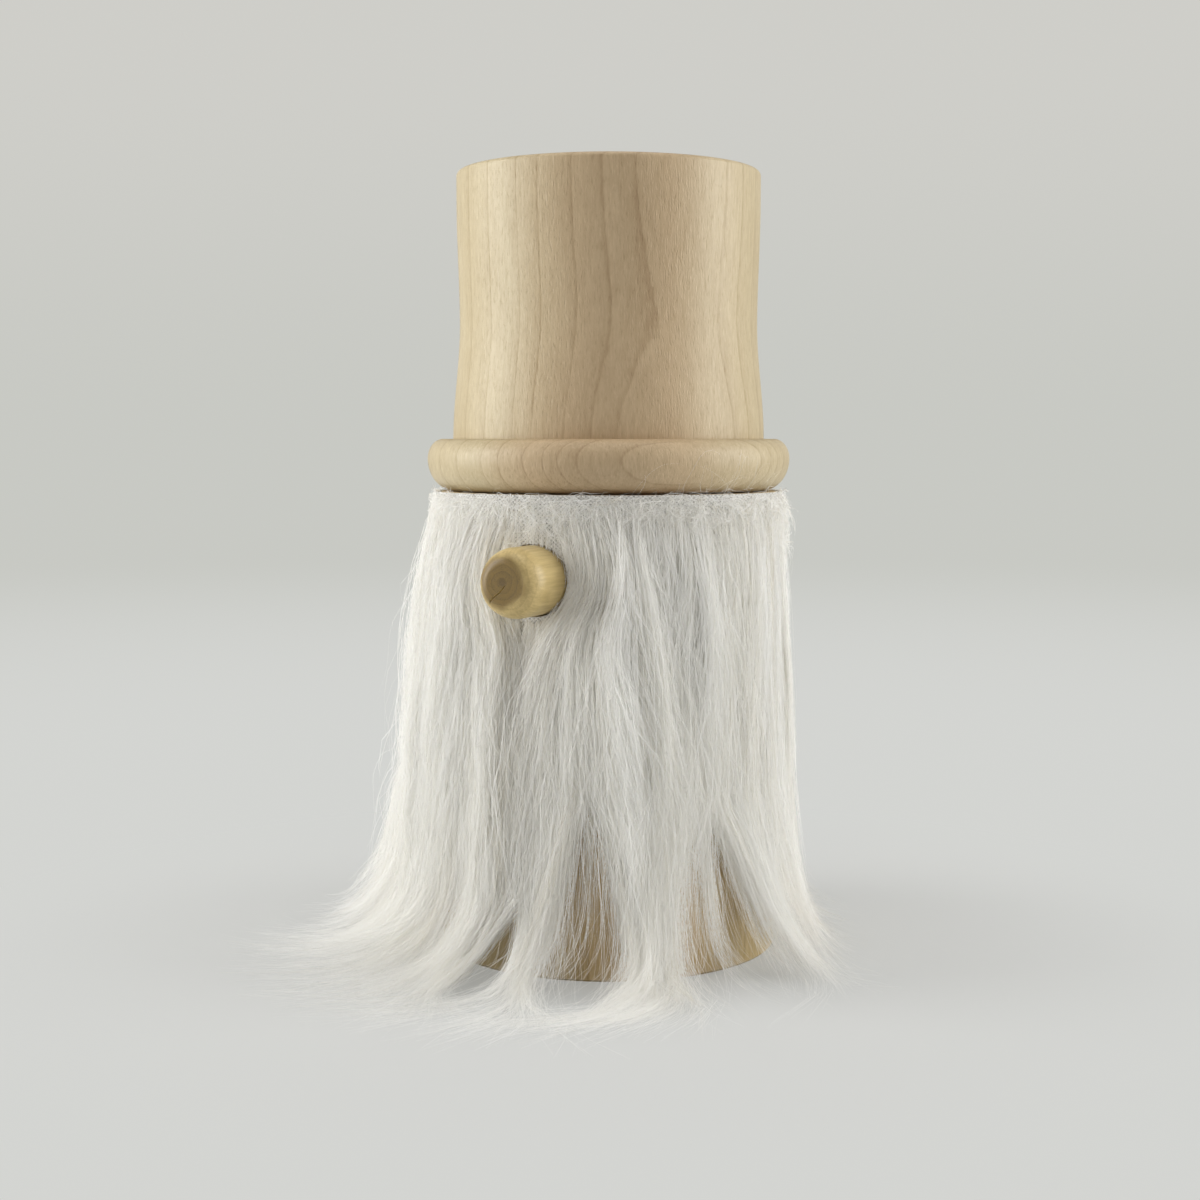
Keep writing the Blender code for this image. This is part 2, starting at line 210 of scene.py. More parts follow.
# Fur: numbers of strands, their sizes, and the shares of strays, short hairs and hairs across a parting
FRONT_STRANDS_PER_RADIAN = 24000
BACK_STRANDS_PER_RADIAN = 15000
FUZZ_PER_RADIAN = 1500
MOST_STRANDS = 6350
STRAND_STEPS = 14
FUZZ_STEPS = 7
STRAND_WIDTH = 0.13 * MM
PILE_LENGTH = 88 * MM
PILE_LENGTH_SPREAD = 6 * MM
LEAST_LENGTH = 6 * MM
TIP_BEYOND_LOCK = 8 * MM
FLOOR_LIFT = 0.15 * MM
ROOT_DEPTH = 0.3 * MM
STRAY_SHARE = 0.16
SHORT_SHARE = 0.16
CROSSING_SHARE = 0.020

# Short hairs' lengths in millimetres. Strays' lengths as shares of the pile's, how many times more they wander,
# and how far they follow their tuft
SHORT_LENGTHS = (8, 26)
STRAY_LENGTHS = (0.5, 1.0)
STRAY_WANDER = (1.8, 5.2)
STRAY_FOLLOWS = 0.3

# How strands, tufts and bundles of tufts wander sideways and lift: steady slopes, and waves as (size, period)
TUFTS = 480
BUNDLES = 36
STRAND_SLOPE, TUFT_SLOPE, BUNDLE_SLOPE = 0.035, 0.088, 0.022
STRAND_PATH = [(0.55 * MM, 75 * MM), (0.26 * MM, 25 * MM)]
STRAND_LIFT = [(0.4 * MM, 70 * MM), (0.16 * MM, 24 * MM)]
TUFT_PATH = [(1.5 * MM, 100 * MM), (0.6 * MM, 45 * MM)]
TUFT_LIFT = [(1.2 * MM, 90 * MM), (0.42 * MM, 40 * MM)]
BUNDLE_PATH = [(1.0 * MM, 150 * MM)]
BUNDLE_LIFT = [(1.3 * MM, 110 * MM)]

# How far strands draw together: in tufts and in bundles, each of them at its own rate, and in a thin lock
TUFT_TIGHT = (0.35, 0.98)
BUNDLE_TIGHT = (0.1, 0.65)
THIN_TIGHT = 0.78

# How the fur hangs: its thickness at PILE_PLACES down from the backing's top, then how far out the knee and
# the ankle of its hidden line are and how high the knee is
PILE_PLACES = np.array([0.0, 12, 26, 45, 88, 110]) * MM
LOOSE_HANG = np.array([0.8, 2.4, 4.0, 6.2, 12.5, 9.0, 8.5, 14.0, 26.0]) * MM
FRONT_HANG = np.array([1.2, 3.6, 5.6, 7.0, 8.0, 6.5, 4.0, 8.5, 8.0]) * MM
FLARED_HANG = np.array([1.0, 2.6, 3.6, 4.0, 5.5, 5.0, 7.0, 15.0, 18.0]) * MM
FLAT_HANG = np.array([0.4, 0.6, 0.5, 0.5, 1.4, 3.0, 1.0, 5.0, 7.0]) * MM

# Where it flares and where it is pressed flat, each as a bearing and a width
FLARED_SIDE = (math.radians(74), math.radians(15))
FLAT_SIDE = (math.radians(117), math.radians(36))

# How narrow the locks are above the floor, as a share of their width at the top
FRONT_WAIST = 0.86
BACK_WAIST = 0.85

# A lock narrower than this is a thin strand that crosses a gap. Most of its fur lies with its neighbours. The
# one that falls straight keeps more of it than the one that swings to its neighbour.
THIN_LOCK = math.radians(10.5)
STRAIGHT_LOCK_SHARE = 0.24
SWINGING_LOCK_SHARE = 0.05

# Where the locks part above the post's foot: angles at top and floor in degrees, half width and height
PARTINGS = [
    (3.0, -9.5, 11.5 * MM, 28 * MM),
    (18.3, 19.5, 16.5 * MM, 62 * MM),
    (52.0, 59.0, 22.5 * MM, 56 * MM),
]

# Hairs that cross the brim: their lock's place, their number, and their least, usual and greatest bearing
BRIM_HAIRS_AT = math.radians(55)
BRIM_HAIRS = 110
BRIM_HAIR_BEARINGS = (22, 52, 92)
BRIM_HAIR_WIDTH = 0.30


def smooth(share):
    """From 0 to 1 with soft ends, held there outside them."""
    share = np.clip(share, 0.0, 1.0)
    return share * share * (3 - 2 * share)


def past(value, start, width):
    """0 up to a start, rising softly to 1 over a width."""
    return smooth((value - start) / width)


def bell(value, width):
    return np.exp(-((value / width) ** 2))


def mix(a, b, share):
    return a + (b - a) * share


def turn_between(a, b):
    """The angle from b to a, between -pi and pi."""
    return (a - b + math.pi) % math.tau - math.pi


def round_post(theta, radius, height):
    """Points at angles, radii and heights round the post."""
    return np.stack([radius * np.sin(theta), -radius * np.cos(theta), height], -1)


# Materials


class Graph:
    """A material's or world's nodes, added by type, wired by passing sockets as inputs."""

    def __init__(self, owner):
        owner.use_nodes = True
        self.tree = owner.node_tree
        self.tree.nodes.clear()

    def add(self, kind, inputs=None, **settings):
        node = self.tree.nodes.new("ShaderNode" + kind)
        for name, value in settings.items():
            setattr(node, name, value)
        for name, value in (inputs or {}).items():
            self.plug(node.inputs[name], value)
        return node

    def plug(self, socket, value):
        if isinstance(value, bpy.types.NodeSocket):
            self.tree.links.new(value, socket)
        else:
            socket.default_value = value

    def maths(self, operation, *values):
        node = self.add("Math", operation=operation)
        for socket, value in zip(node.inputs, values):
            self.plug(socket, value)
        return node.outputs[0]

    def times(self, a, b):
        return self.maths("MULTIPLY", a, b)

    def centred(self, value):
        """Noise about zero instead of about a half."""
        return self.maths("SUBTRACT", value, 0.5)

    def total(self, base, *parts):
        """The base and each part times its weight."""
        for value, weight in parts:
            base = self.maths("MULTIPLY_ADD", value, weight, base)
        return base

    def vector(self, operation, *values):
        """The value that a vector operation gives."""
        return self.add("VectorMath", dict(enumerate(values)), operation=operation).outputs["Value"]

    def here(self, space="Object"):
        return self.add("TexCoord").outputs[space]

    def split(self, vector, axis):
        return self.add("SeparateXYZ", {"Vector": vector}).outputs[axis]

    def blend(self, share, a, b, blend_type="MIX"):
        node = self.add("Mix", data_type="RGBA", blend_type=blend_type)
        for name, value in (("Factor", share), ("A", a), ("B", b)):
            self.plug(node.inputs[name], value)
        return node.outputs["Result"]

    def ramp(self, value, stops, interpolation="LINEAR"):
        """A colour ramp of (place, grey or colour) stops."""
        node = self.add("ValToRGB", {"Fac": value})
        node.color_ramp.interpolation = interpolation
        elements = node.color_ramp.elements
        while len(elements) < len(stops):
            elements.new(0.5)
        for element, (place, colour) in zip(elements, stops):
            element.position = place
            element.color = (colour, colour, colour, 1) if isinstance(colour, float) else (*colour, 1)
        return node.outputs["Color"]

    def noise(self, place, scale, detail=3.0, roughness=0.55):
        inputs = {"Vector": place, "Scale": scale, "Detail": detail, "Roughness": roughness}
        return self.add("TexNoise", inputs).outputs["Fac"]

    def place(self, source, scale=(1, 1, 1), location=(0, 0, 0)):
        inputs = {"Vector": source, "Scale": scale, "Location": location}
        return self.add("Mapping", inputs).outputs["Vector"]

    def bump(self, height, distance, strength=1.0):
        inputs = {"Height": height, "Distance": distance, "Strength": strength}
        return self.add("Bump", inputs).outputs["Normal"]

    def either(self, share, first, second):
        """A mixture of two shaders."""
        node = self.add("MixShader", {"Fac": share})
        self.tree.links.new(first.outputs[0], node.inputs[1])
        self.tree.links.new(second.outputs[0], node.inputs[2])
        return node

    def surface(self, shader, target="OutputMaterial"):
        output = self.add(target)
        self.tree.links.new(shader.outputs[0], output.inputs["Surface"])


def new_material(name):
    material = bpy.data.materials.new(name)
    return material, Graph(material)


def ring_curve(graph, place, levels):
    """A float curve over the rings' span that runs through a level at each ring's edge."""
    node = graph.add("FloatCurve", {"Value": place})
    curve = node.mapping.curves[0]
    for index, (edge, level) in enumerate(levels):
        at = (edge * MM + RING_SPAN) / (2 * RING_SPAN)
        if index < 2:
            curve.points[index].location = (at, level)
        else:
            curve.points.new(at, level)
    for point in curve.points:
        point.handle_type = "VECTOR"
    node.mapping.update()
    return node.outputs["Value"]


def across_rings(graph, value):
    """A distance as a share of the rings' span."""
    return graph.maths("DIVIDE", graph.maths("ADD", value, RING_SPAN), 2 * RING_SPAN)


def ring_lines(graph, place, side, uneven):
    """Growth rings: their lines, and the fine lines inside them. One curve counts the rings, and the other
    tells how wide the present one is."""
    last = len(RING_EDGES) - 1
    counted = ring_curve(graph, place, [(edge, index / last) for index, edge in enumerate(RING_EDGES)])
    widths = []
    for low, high in zip(RING_EDGES, RING_EDGES[1:]):
        widths += [(low + 0.01, (high - low) / WIDEST_RING), (high - 0.01, (high - low) / WIDEST_RING)]
    ring_width = graph.times(ring_curve(graph, place, widths), WIDEST_RING)
    turns = graph.times(counted, float(last))
    along_ring = graph.maths("FRACT", turns)
    to_edge = graph.times(graph.maths("SUBTRACT", 1.0, along_ring), ring_width)
    line = graph.ramp(graph.maths("DIVIDE", to_edge, 6.0), RING_LINE)
    after = graph.ramp(graph.times(along_ring, ring_width), LINE_AFTER)
    line = graph.maths("MAXIMUM", line, after)
    fine_ring = graph.maths("FRACT", graph.times(turns, FINE_RINGS))
    fine_line = graph.ramp(fine_ring, FINE_LINE)
    # The lines are faint just past the place where they run along the surface, and here and there
    clear = graph.times(graph.ramp(side, FAINT_SIDE), graph.ramp(uneven, FAINT_PATCHES))
    return graph.times(line, clear), fine_line


def wood_material(name, shift, wobble, light=(1, 1, 1)):
    """Flat-sawn turned maple: rings round a far-off pith line, fine fibre along Z, ray flecks and end grain.
    Shift moves the rings towards the bark, wobble bends them, and light is a factor on the colour: painted
    light, which brightens a copy against the fur's shade."""
    material, graph = new_material(name)
    here = graph.here()
    noise = {}
    for kind, (stretch, *settings) in MAPLE_NOISE.items():
        noise[kind] = graph.noise(graph.place(here, scale=(1, 1, stretch)), *settings)
    # Place in the tree: distance from the pith line, bent by slow noise that is long in the grain's direction
    from_pith = graph.place(here, location=(-PITH[0], -PITH[1], 0.0), scale=(1, 1, 0.0))
    distance = graph.vector("LENGTH", from_pith)
    bends = (graph.centred(noise["slow"]), wobble), (graph.centred(noise["jitter"]), RING_JITTER)
    age = graph.maths("SUBTRACT", graph.total(distance, *bends), PITH_DISTANCE + shift)
    side = graph.vector("DOT_PRODUCT", here, (PITH[1] / PITH_DISTANCE, -PITH[0] / PITH_DISTANCE, 0))
    side = across_rings(graph, side)
    ring_line, fine_line = ring_lines(graph, across_rings(graph, age), side, noise["uneven"])
    dark_fleck = graph.ramp(noise["fleck"], DARK_FLECKS)
    pale_fleck = graph.ramp(noise["fleck"], PALE_FLECKS)
    # End grain shows on faces square to the fibre
    facing = graph.split(graph.here("Normal"), "Z")
    end_grain = graph.ramp(graph.maths("ABSOLUTE", facing), MAPLE_END_GRAIN)
    pores = graph.ramp(graph.noise(here, 3600.0, 2.0, 0.5), MAPLE_PORES)
    darkness = graph.total(
        0.17,
        (ring_line, 0.40),
        (fine_line, 0.05),
        (graph.centred(noise["streak"]), 0.62),
        (graph.centred(noise["broad"]), 0.40),
        # Painted sheen: lighter and darker patches that copy a satin sheen's broken look
        (graph.centred(noise["painted_sheen_and_bump"]), 0.38),
        (graph.centred(noise["patch"]), 0.34),
        (dark_fleck, 0.20),
        (pale_fleck, -0.18),
        (end_grain, 0.22),
        (graph.times(pores, end_grain), 0.25),
    )
    # Yellower towards the heart and past the middle of the bark side, pinker before it
    pinkness = graph.ramp(graph.maths("DIVIDE", age, 42 * MM), PINK_AGE)
    pinkness = graph.times(pinkness, graph.ramp(side, PINK_SIDE))
    tint = graph.blend(pinkness, graph.ramp(darkness, MAPLE_YELLOW), graph.ramp(darkness, MAPLE_PINK))
    height = graph.total(
        graph.times(noise["streak"], 0.6),
        (ring_line, -0.3),
        (noise["painted_sheen_and_bump"], 0.4),
        (dark_fleck, -0.45),
        (pale_fleck, 0.35),
    )
    graph.surface(graph.add("BsdfPrincipled", {
        # Painted light: the colour is scaled by light, which brightens the post's copy of the wood
        "Base Color": graph.blend(1.0, tint, (*light, 1), "MULTIPLY"),
        "Roughness": graph.total(0.29, (noise["streak"], 0.22), (end_grain, 0.14)),
        "Specular IOR Level": 0.42,
        "Normal": graph.bump(height, 0.085 * MM),
    }))
    return material


def nose_material():
    """Olive-brown dowel wood with its fibre along Y: long grain on its sides, end grain and pith in front."""
    material, graph = new_material("nose_wood")
    here = graph.here()
    from_pith = graph.place(here, location=(1.0 * MM, 0.0, -NOSE_HEIGHT - 0.6 * MM), scale=(1, 0.0, 1))
    distance = graph.vector("LENGTH", from_pith)
    slow = graph.noise(graph.place(here, scale=(1, 0.25, 1)), 160.0, 2.0, 0.5)
    streak = graph.noise(graph.place(here, scale=(1, 0.04, 1)), 1500.0, 4.0, 0.6)
    patch = graph.noise(here, 150.0, 2.0, 0.5)
    pores = graph.ramp(graph.noise(here, 3800.0, 2.0, 0.5), NOSE_PORES)
    turns = graph.total(graph.maths("DIVIDE", distance, 1.5 * MM), (graph.centred(slow), 1.6))
    ring = graph.ramp(graph.maths("FRACT", turns), NOSE_RING)
    # End grain in front, with a soft uneven edge
    edge = graph.total(distance, (graph.centred(patch), 4 * MM))
    facing = graph.times(graph.split(graph.here("Normal"), "Y"), -1.0)
    end_grain = graph.ramp(graph.maths("DIVIDE", edge, 10 * MM), NOSE_END, "EASE")
    end_grain = graph.times(end_grain, graph.ramp(facing, NOSE_FACING))
    side = graph.ramp(graph.total(0.30, (graph.centred(streak), 1.3), (ring, 0.22)), NOSE_SIDE_COLOURS)
    end = graph.total(graph.times(pores, 0.30), (ring, 0.30), (patch, 0.5))
    end = graph.ramp(end, NOSE_END_COLOURS)
    pith = graph.ramp(graph.maths("DIVIDE", distance, 1.1 * MM), NOSE_PITH)
    end = graph.blend(graph.times(pith, 0.45), end, NOSE_PITH_COLOUR)
    height = graph.total(
        graph.times(streak, 0.6),
        (ring, -0.4),
        (graph.times(pores, end_grain), -0.5),
    )
    graph.surface(graph.add("BsdfPrincipled", {
        "Base Color": graph.blend(end_grain, side, end),
        "Roughness": graph.total(0.33, (streak, 0.15)),
        "Specular IOR Level": 0.5,
        "Normal": graph.bump(height, 0.05 * MM, 0.7),
    }))
    return material


def dowel_material():
    """Bare beech with its fibre along Z."""
    material, graph = new_material("dowel_beech")
    streak = graph.noise(graph.place(graph.here(), scale=(1, 1, 0.05)), 1400.0)
    graph.surface(graph.add("BsdfPrincipled", {
        "Base Color": graph.ramp(streak, BEECH_COLOURS),
        "Roughness": 0.6,
        "Normal": graph.bump(streak, 0.05 * MM, 0.5),
    }))
    return material


def knit_material():
    """White knitted backing cloth: rows of small loops, with painted shade darkening the holes and dips between
    them.
    """
    material, graph = new_material("knit_backing")
    place = graph.add("UVMap", uv_map=UV_MAP).outputs["UV"]
    loops = graph.place(place, scale=(KNIT_WALES, KNIT_COURSES, 1))
    waves = []
    for axis in "XY":
        waves.append(graph.maths("SINE", graph.times(graph.split(loops, axis), math.tau)))
    fuzz = graph.noise(graph.here(), 1600.0)
    height = graph.total(0.3, (graph.times(*waves), 0.35), (fuzz, 0.6))
    graph.surface(graph.add("BsdfPrincipled", {
        # Painted shade: the holes and dips between the loops are coloured dark
        "Base Color": graph.ramp(height, KNIT_COLOURS_WITH_PAINTED_SHADE),
        "Roughness": 0.9,
        "Sheen Weight": 0.3,
        "Normal": graph.bump(height, 0.3 * MM, 0.9),
    }))
    return material


def fur_material():
    """White fibre. U is a strand's own shade, and V runs from its root to its tip."""
    material, graph = new_material("fur_pile")
    strand = graph.add("UVMap", uv_map=UV_MAP).outputs["UV"]
    shade = graph.ramp(graph.split(strand, "X"), FUR_SHADES)
    root = graph.ramp(graph.split(strand, "Y"), FUR_ROOTS)
    tint = graph.blend(1.0, shade, root, "MULTIPLY")
    solid = graph.add("BsdfPrincipled", {
        "Base Color": tint,
        "Roughness": graph.total(0.38, (graph.noise(graph.here(), 700.0, 2.0), 0.2)),
        "Specular IOR Level": 0.45,
    })
    through = graph.add("BsdfTranslucent", {"Color": tint})
    graph.surface(graph.either(FUR_TRANSLUCENCE, solid, through))
    return material


# Meshes


def link(obj):
    bpy.context.scene.collection.objects.link(obj)
    return obj


def add_piece(name, mesh, material, slot, *nodes):
    """A piece that stands for CAD nodes and rides on the figure's one body. Its slot is not used."""
    obj = link(bpy.data.objects.new(name, mesh))
    mesh.materials.append(material)
    mesh.shade_smooth()
    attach(obj, "root")
    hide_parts(*nodes)
    return obj


def built_mesh(name, builder):
    """A new mesh of what a builder holds. The builder is used up."""
    mesh = bpy.data.meshes.new(name)
    builder.to_mesh(mesh)
    builder.free()
    return mesh


def face_outward(mesh):
    builder = bmesh.new()
    builder.from_mesh(mesh)
    bmesh.ops.recalc_face_normals(builder, faces=builder.faces)
    builder.to_mesh(mesh)
    builder.free()


def mesh_from_arrays(name, points, loops, sizes):
    """A mesh from numpy arrays: points, the faces' corners in one row, and each face's number of corners."""
    mesh = bpy.data.meshes.new(name)
    mesh.vertices.add(len(points))
    mesh.vertices.foreach_set("co", np.asarray(points, np.float32).ravel())
    mesh.loops.add(len(loops))
    mesh.loops.foreach_set("vertex_index", np.asarray(loops, np.int32))
    mesh.polygons.add(len(sizes))
    starts = np.concatenate(([0], np.cumsum(sizes)[:-1])).astype(np.int32)
    mesh.polygons.foreach_set("loop_start", starts)
    mesh.update(calc_edges=True)
    mesh.validate()
    return mesh


def turned_mesh(name, profile, segments=TURNED_SEGMENTS):
    """A closed solid of revolution about Z. The profile runs from axis to axis as (radius, height) points."""
    inner = np.array(profile[1:-1])
    angles = np.arange(segments) * math.tau / segments
    rings = round_post(angles, inner[:, :1], np.repeat(inner[:, 1][:, None], segments, 1))
    ends = [(0.0, 0.0, profile[0][1]), (0.0, 0.0, profile[-1][1])]
    points = np.vstack([rings.reshape(-1, 3), ends])
    here = np.arange(segments)
    after = (here + 1) % segments
    loops, sizes = [], []
    for row in range(len(inner) - 1):
        low, high = row * segments, (row + 1) * segments
        quads = np.stack([low + here, low + after, high + after, high + here], 1)
        loops.append(quads[:, ::-1].ravel())
        sizes.append(np.full(segments, 4))
    first, last = len(points) - 2, len(points) - 1
    bottom = (len(inner) - 1) * segments
    loops.append(np.stack([np.full(segments, first), here, after], 1).ravel())
    loops.append(np.stack([np.full(segments, last), bottom + after, bottom + here], 1).ravel())
    sizes += [np.full(segments, 3), np.full(segments, 3)]
    mesh = mesh_from_arrays(name, points, np.concatenate(loops), np.concatenate(sizes))
    face_outward(mesh)
    return mesh


def quarter_round(radius, height, width, drop, steps):
    """Points of a quarter ellipse from its upper end down to its widest point at radius."""
    angles = np.linspace(0, math.pi / 2, steps + 1)
    return [(radius - width + width * math.sin(a), height - drop + drop * math.cos(a)) for a in angles]


def make_hat(material):
    brim_top = HAT_BASE + BRIM_THICKNESS
    waist = brim_top + CROWN_WAIST_RISE
    shoulder = HAT_TOP - CROWN_SHOULDER_DROP
    crown = []
    for skipped, (top_radius, top), (foot_radius, foot) in (
        (0, (CROWN_TOP_RADIUS, shoulder), (CROWN_WAIST_RADIUS, waist)),
        (1, (CROWN_WAIST_RADIUS, waist), (CROWN_FOOT_RADIUS, brim_top)),
    ):
        for share in np.linspace(0, 1, CROWN_POINTS)[skipped:]:
            crown.append((mix(top_radius, foot_radius, smooth(share)), mix(top, foot, share)))
    under = quarter_round(BRIM_RADIUS, 0.0, *BRIM_UNDER_ROUND, 14)
    profile = [
        (0.0, HAT_TOP),
        (CROWN_TOP_RADIUS - 3 * CROWN_TOP_ROUND, HAT_TOP),
        *quarter_round(CROWN_TOP_RADIUS, HAT_TOP, CROWN_TOP_ROUND, CROWN_TOP_ROUND, 6),
        *crown,
        (CROWN_FOOT_RADIUS + BRIM_CORNER, brim_top),
        *quarter_round(BRIM_RADIUS, brim_top, *BRIM_TOP_ROUND, 12),
        *[(radius, HAT_BASE - depth) for radius, depth in reversed(under[:-1])],
        (DOWEL_BORE_RADIUS, HAT_BASE),
        (DOWEL_BORE_RADIUS, HAT_BASE + HAT_BORE_DEPTH),
        (0.0, HAT_BASE + HAT_BORE_DEPTH),
    ]
    piece = add_piece("turned_hat", turned_mesh("turned_hat", profile), material, "maple", "hat")
    piece.data.set_sharp_from_angle(angle=TURNED_SHARP)


def make_post(material):
    """The post, with the dowel's bore from above and the nose's socket from in front."""
    profile = [
        (0.0, POST_HEIGHT - POST_BORE_DEPTH),
        (DOWEL_BORE_RADIUS, POST_HEIGHT - POST_BORE_DEPTH),
        (DOWEL_BORE_RADIUS, POST_HEIGHT),
        (POST_RADIUS - FOOT_CHAMFER, POST_HEIGHT),
        (POST_RADIUS, POST_HEIGHT - FOOT_CHAMFER),
        (POST_RADIUS, FOOT_CHAMFER),
        (POST_RADIUS - FOOT_CHAMFER, 0.0),
        (0.0, 0.0),
    ]
    piece = add_piece("turned_post", turned_mesh("turned_post", profile), material, "maple", "body_post")
    piece.data.set_sharp_from_angle(angle=TURNED_SHARP)
    builder = bmesh.new()
    bmesh.ops.create_cone(
        builder,
        cap_ends=True,
        segments=64,
        radius1=NOSE_RADIUS + GLUE_GAP,
        radius2=NOSE_RADIUS + GLUE_GAP,
        depth=NOSE_TIP - NOSE_BACK,
    )
    cutter = link(bpy.data.objects.new("nose_socket", built_mesh("nose_socket", builder)))
    cutter.rotation_euler = (math.radians(90), 0, 0)
    cutter.location = (0, -(NOSE_TIP + NOSE_BACK) / 2 + GLUE_GAP, NOSE_HEIGHT)
    modifier = piece.modifiers.new("nose_socket", "BOOLEAN")
    modifier.operation = "DIFFERENCE"
    modifier.object = cutter
    bpy.context.view_layer.objects.active = piece
    piece.select_set(True)
    bpy.ops.object.modifier_apply(modifier=modifier.name)
    bpy.data.objects.remove(cutter, do_unlink=True)


def make_nose(material):
    """The nose, with a drying crack from its pith to its lower left edge."""
    length = NOSE_TIP - NOSE_BACK
    tip = quarter_round(NOSE_RADIUS, length, NOSE_RADIUS - NOSE_TIP_FLAT, NOSE_TIP_ROUND, 16)
    profile = [(0.0, length)]
    profile += [(radius, length) for radius in np.linspace(0.12 * MM, NOSE_TIP_FLAT, 28)[:-1]]
    profile += tip
    profile += [
        (NOSE_RADIUS, mix(tip[-1][1], NOSE_BACK_CHAMFER, 0.5)),
        (NOSE_RADIUS, NOSE_BACK_CHAMFER),
        (NOSE_RADIUS - NOSE_BACK_CHAMFER, 0.0),
        (0.0, 0.0),
    ]
    mesh = turned_mesh("dowel_nose", profile, NOSE_SEGMENTS)
    points = np.empty(len(mesh.vertices) * 3, np.float32)
    mesh.vertices.foreach_get("co", points)
    points = points.reshape(-1, 3)
    # Turned about +Z from back to tip; lay that along -Y
    laid = np.stack([points[:, 0], -NOSE_BACK - points[:, 2], NOSE_HEIGHT + points[:, 1]], 1)
    side, up = laid[:, 0], laid[:, 2] - NOSE_HEIGHT
    reach = np.hypot(side, up)
    target = CRACK_BEARING + CRACK_SWAY * np.sin(reach / (1.1 * MM))
    away = np.abs(turn_between(np.arctan2(up, side), target)) * np.clip(reach, 0.3 * MM, None)
    crack = CRACK_DEPTH * past(reach, *CRACK_OPENS) * (1 - past(reach, *CRACK_CLOSES))
    crack *= 1 - smooth(away / CRACK_WIDTH)
    crack *= laid[:, 1] < -NOSE_BACK - (length - NOSE_TIP_ROUND)
    laid[:, 1] += crack
    mesh.vertices.foreach_set("co", laid.ravel())
    mesh.update()
    face_outward(mesh)
    piece = add_piece("dowel_nose", mesh, material, "nose_wood", "nose")
    piece.data.set_sharp_from_angle(angle=NOSE_SHARP)


def join_faces(builder, count):
    """Closes the cloth's rims between its outer face's points, the first count, and its inner face's."""
    for edge in [edge for edge in builder.edges if edge.is_boundary]:
        a, b = [vert.index for vert in edge.verts]
        if a < count:
            builder.faces.new([builder.verts[index] for index in (a, b, b + count, a + count)])
    loose = [vert for vert in builder.verts if not vert.link_faces]
    bmesh.ops.delete(builder, geom=loose, context="VERTS")


def lay_cloth_map(builder):
    """The cloth's UV map: U runs once round the post from its back, V from the bottom edge to the top."""
    layer = builder.loops.layers.uv.new(UV_MAP)
    for face in builder.faces:
        middle = face.calc_center_median()
        middle_turn = math.atan2(middle.x, -middle.y) / math.tau
        for loop in face.loops:
            point = loop.vert.co
            turn = math.atan2(point.x, -point.y) / math.tau
            if abs(turn - middle_turn) > 0.5:
                turn -= math.copysign(1, turn - middle_turn)
            up = (point.z - BACKING_BOTTOM) / BACKING_HEIGHT
            loop[layer].uv = (turn + 0.5, up)


def make_backing(material):
    """The strip's knitted backing, stretched round the post, closed at its seam opposite the nose."""
    inner = POST_RADIUS + GLUE_GAP
    seam = KNIT_HALF_SEAM / inner
    theta, height = np.meshgrid(
        np.linspace(seam - math.pi, math.pi - seam, KNIT_COLUMNS + 1),
        np.linspace(BACKING_BOTTOM, BACKING_TOP, KNIT_ROWS + 1),
    )
    knit = np.sin(theta * KNIT_WALES / 2) * np.sin(height / BACKING_HEIGHT * KNIT_COURSES)
    outer = inner + KNIT_THICKNESS + KNIT_LIFT * knit * (np.abs(height - BACKING_TOP) < KNIT_SHOWN)
    # The nose's hole: points inside are drawn out to its rim, and squares with all corners there are left out
    across = np.sin(theta) * inner
    rise = height - NOSE_HEIGHT
    reach = np.hypot(across, rise)
    inside = (reach < KNIT_HOLE) & (np.abs(theta) < 1)
    stretch = np.where(inside, KNIT_HOLE / np.clip(reach, 0.01 * MM, None), 1.0)
    theta = np.where(inside, np.arcsin(np.clip(across * stretch / inner, -1, 1)), theta)
    height = np.where(inside, NOSE_HEIGHT + rise * stretch, height)
    # The outer face's top edge stands up a little into the hollow under the brim
    raised = np.array(height)
    raised[-1] += KNIT_EDGE_RISE
    faces = (outer, raised), (np.full_like(outer, inner), height)
    points = [round_post(theta, radius, level).reshape(-1, 3) for radius, level in faces]
    width = KNIT_COLUMNS + 1
    count = width * (KNIT_ROWS + 1)
    row, column = np.meshgrid(np.arange(KNIT_ROWS), np.arange(KNIT_COLUMNS), indexing="ij")
    open_square = inside[:-1, :-1] & inside[:-1, 1:] & inside[1:, :-1] & inside[1:, 1:]
    corner = (row * width + column).ravel()[~open_square.ravel()]
    square = np.stack([corner, corner + 1, corner + width + 1, corner + width], 1)
    loops = np.concatenate([square.ravel(), (square[:, ::-1] + count).ravel()])
    mesh = mesh_from_arrays("knit_backing", np.vstack(points), loops, np.full(2 * len(square), 4))
    builder = bmesh.new()
    builder.from_mesh(mesh)
    builder.verts.ensure_lookup_table()
    join_faces(builder, count)
    bmesh.ops.recalc_face_normals(builder, faces=builder.faces)
    lay_cloth_map(builder)
    builder.to_mesh(mesh)
    builder.free()
    piece = add_piece("knit_backing", mesh, material, "knit_backing", "fur_backing")
    piece.data.set_sharp_from_angle(angle=KNIT_SHARP)


# Fur


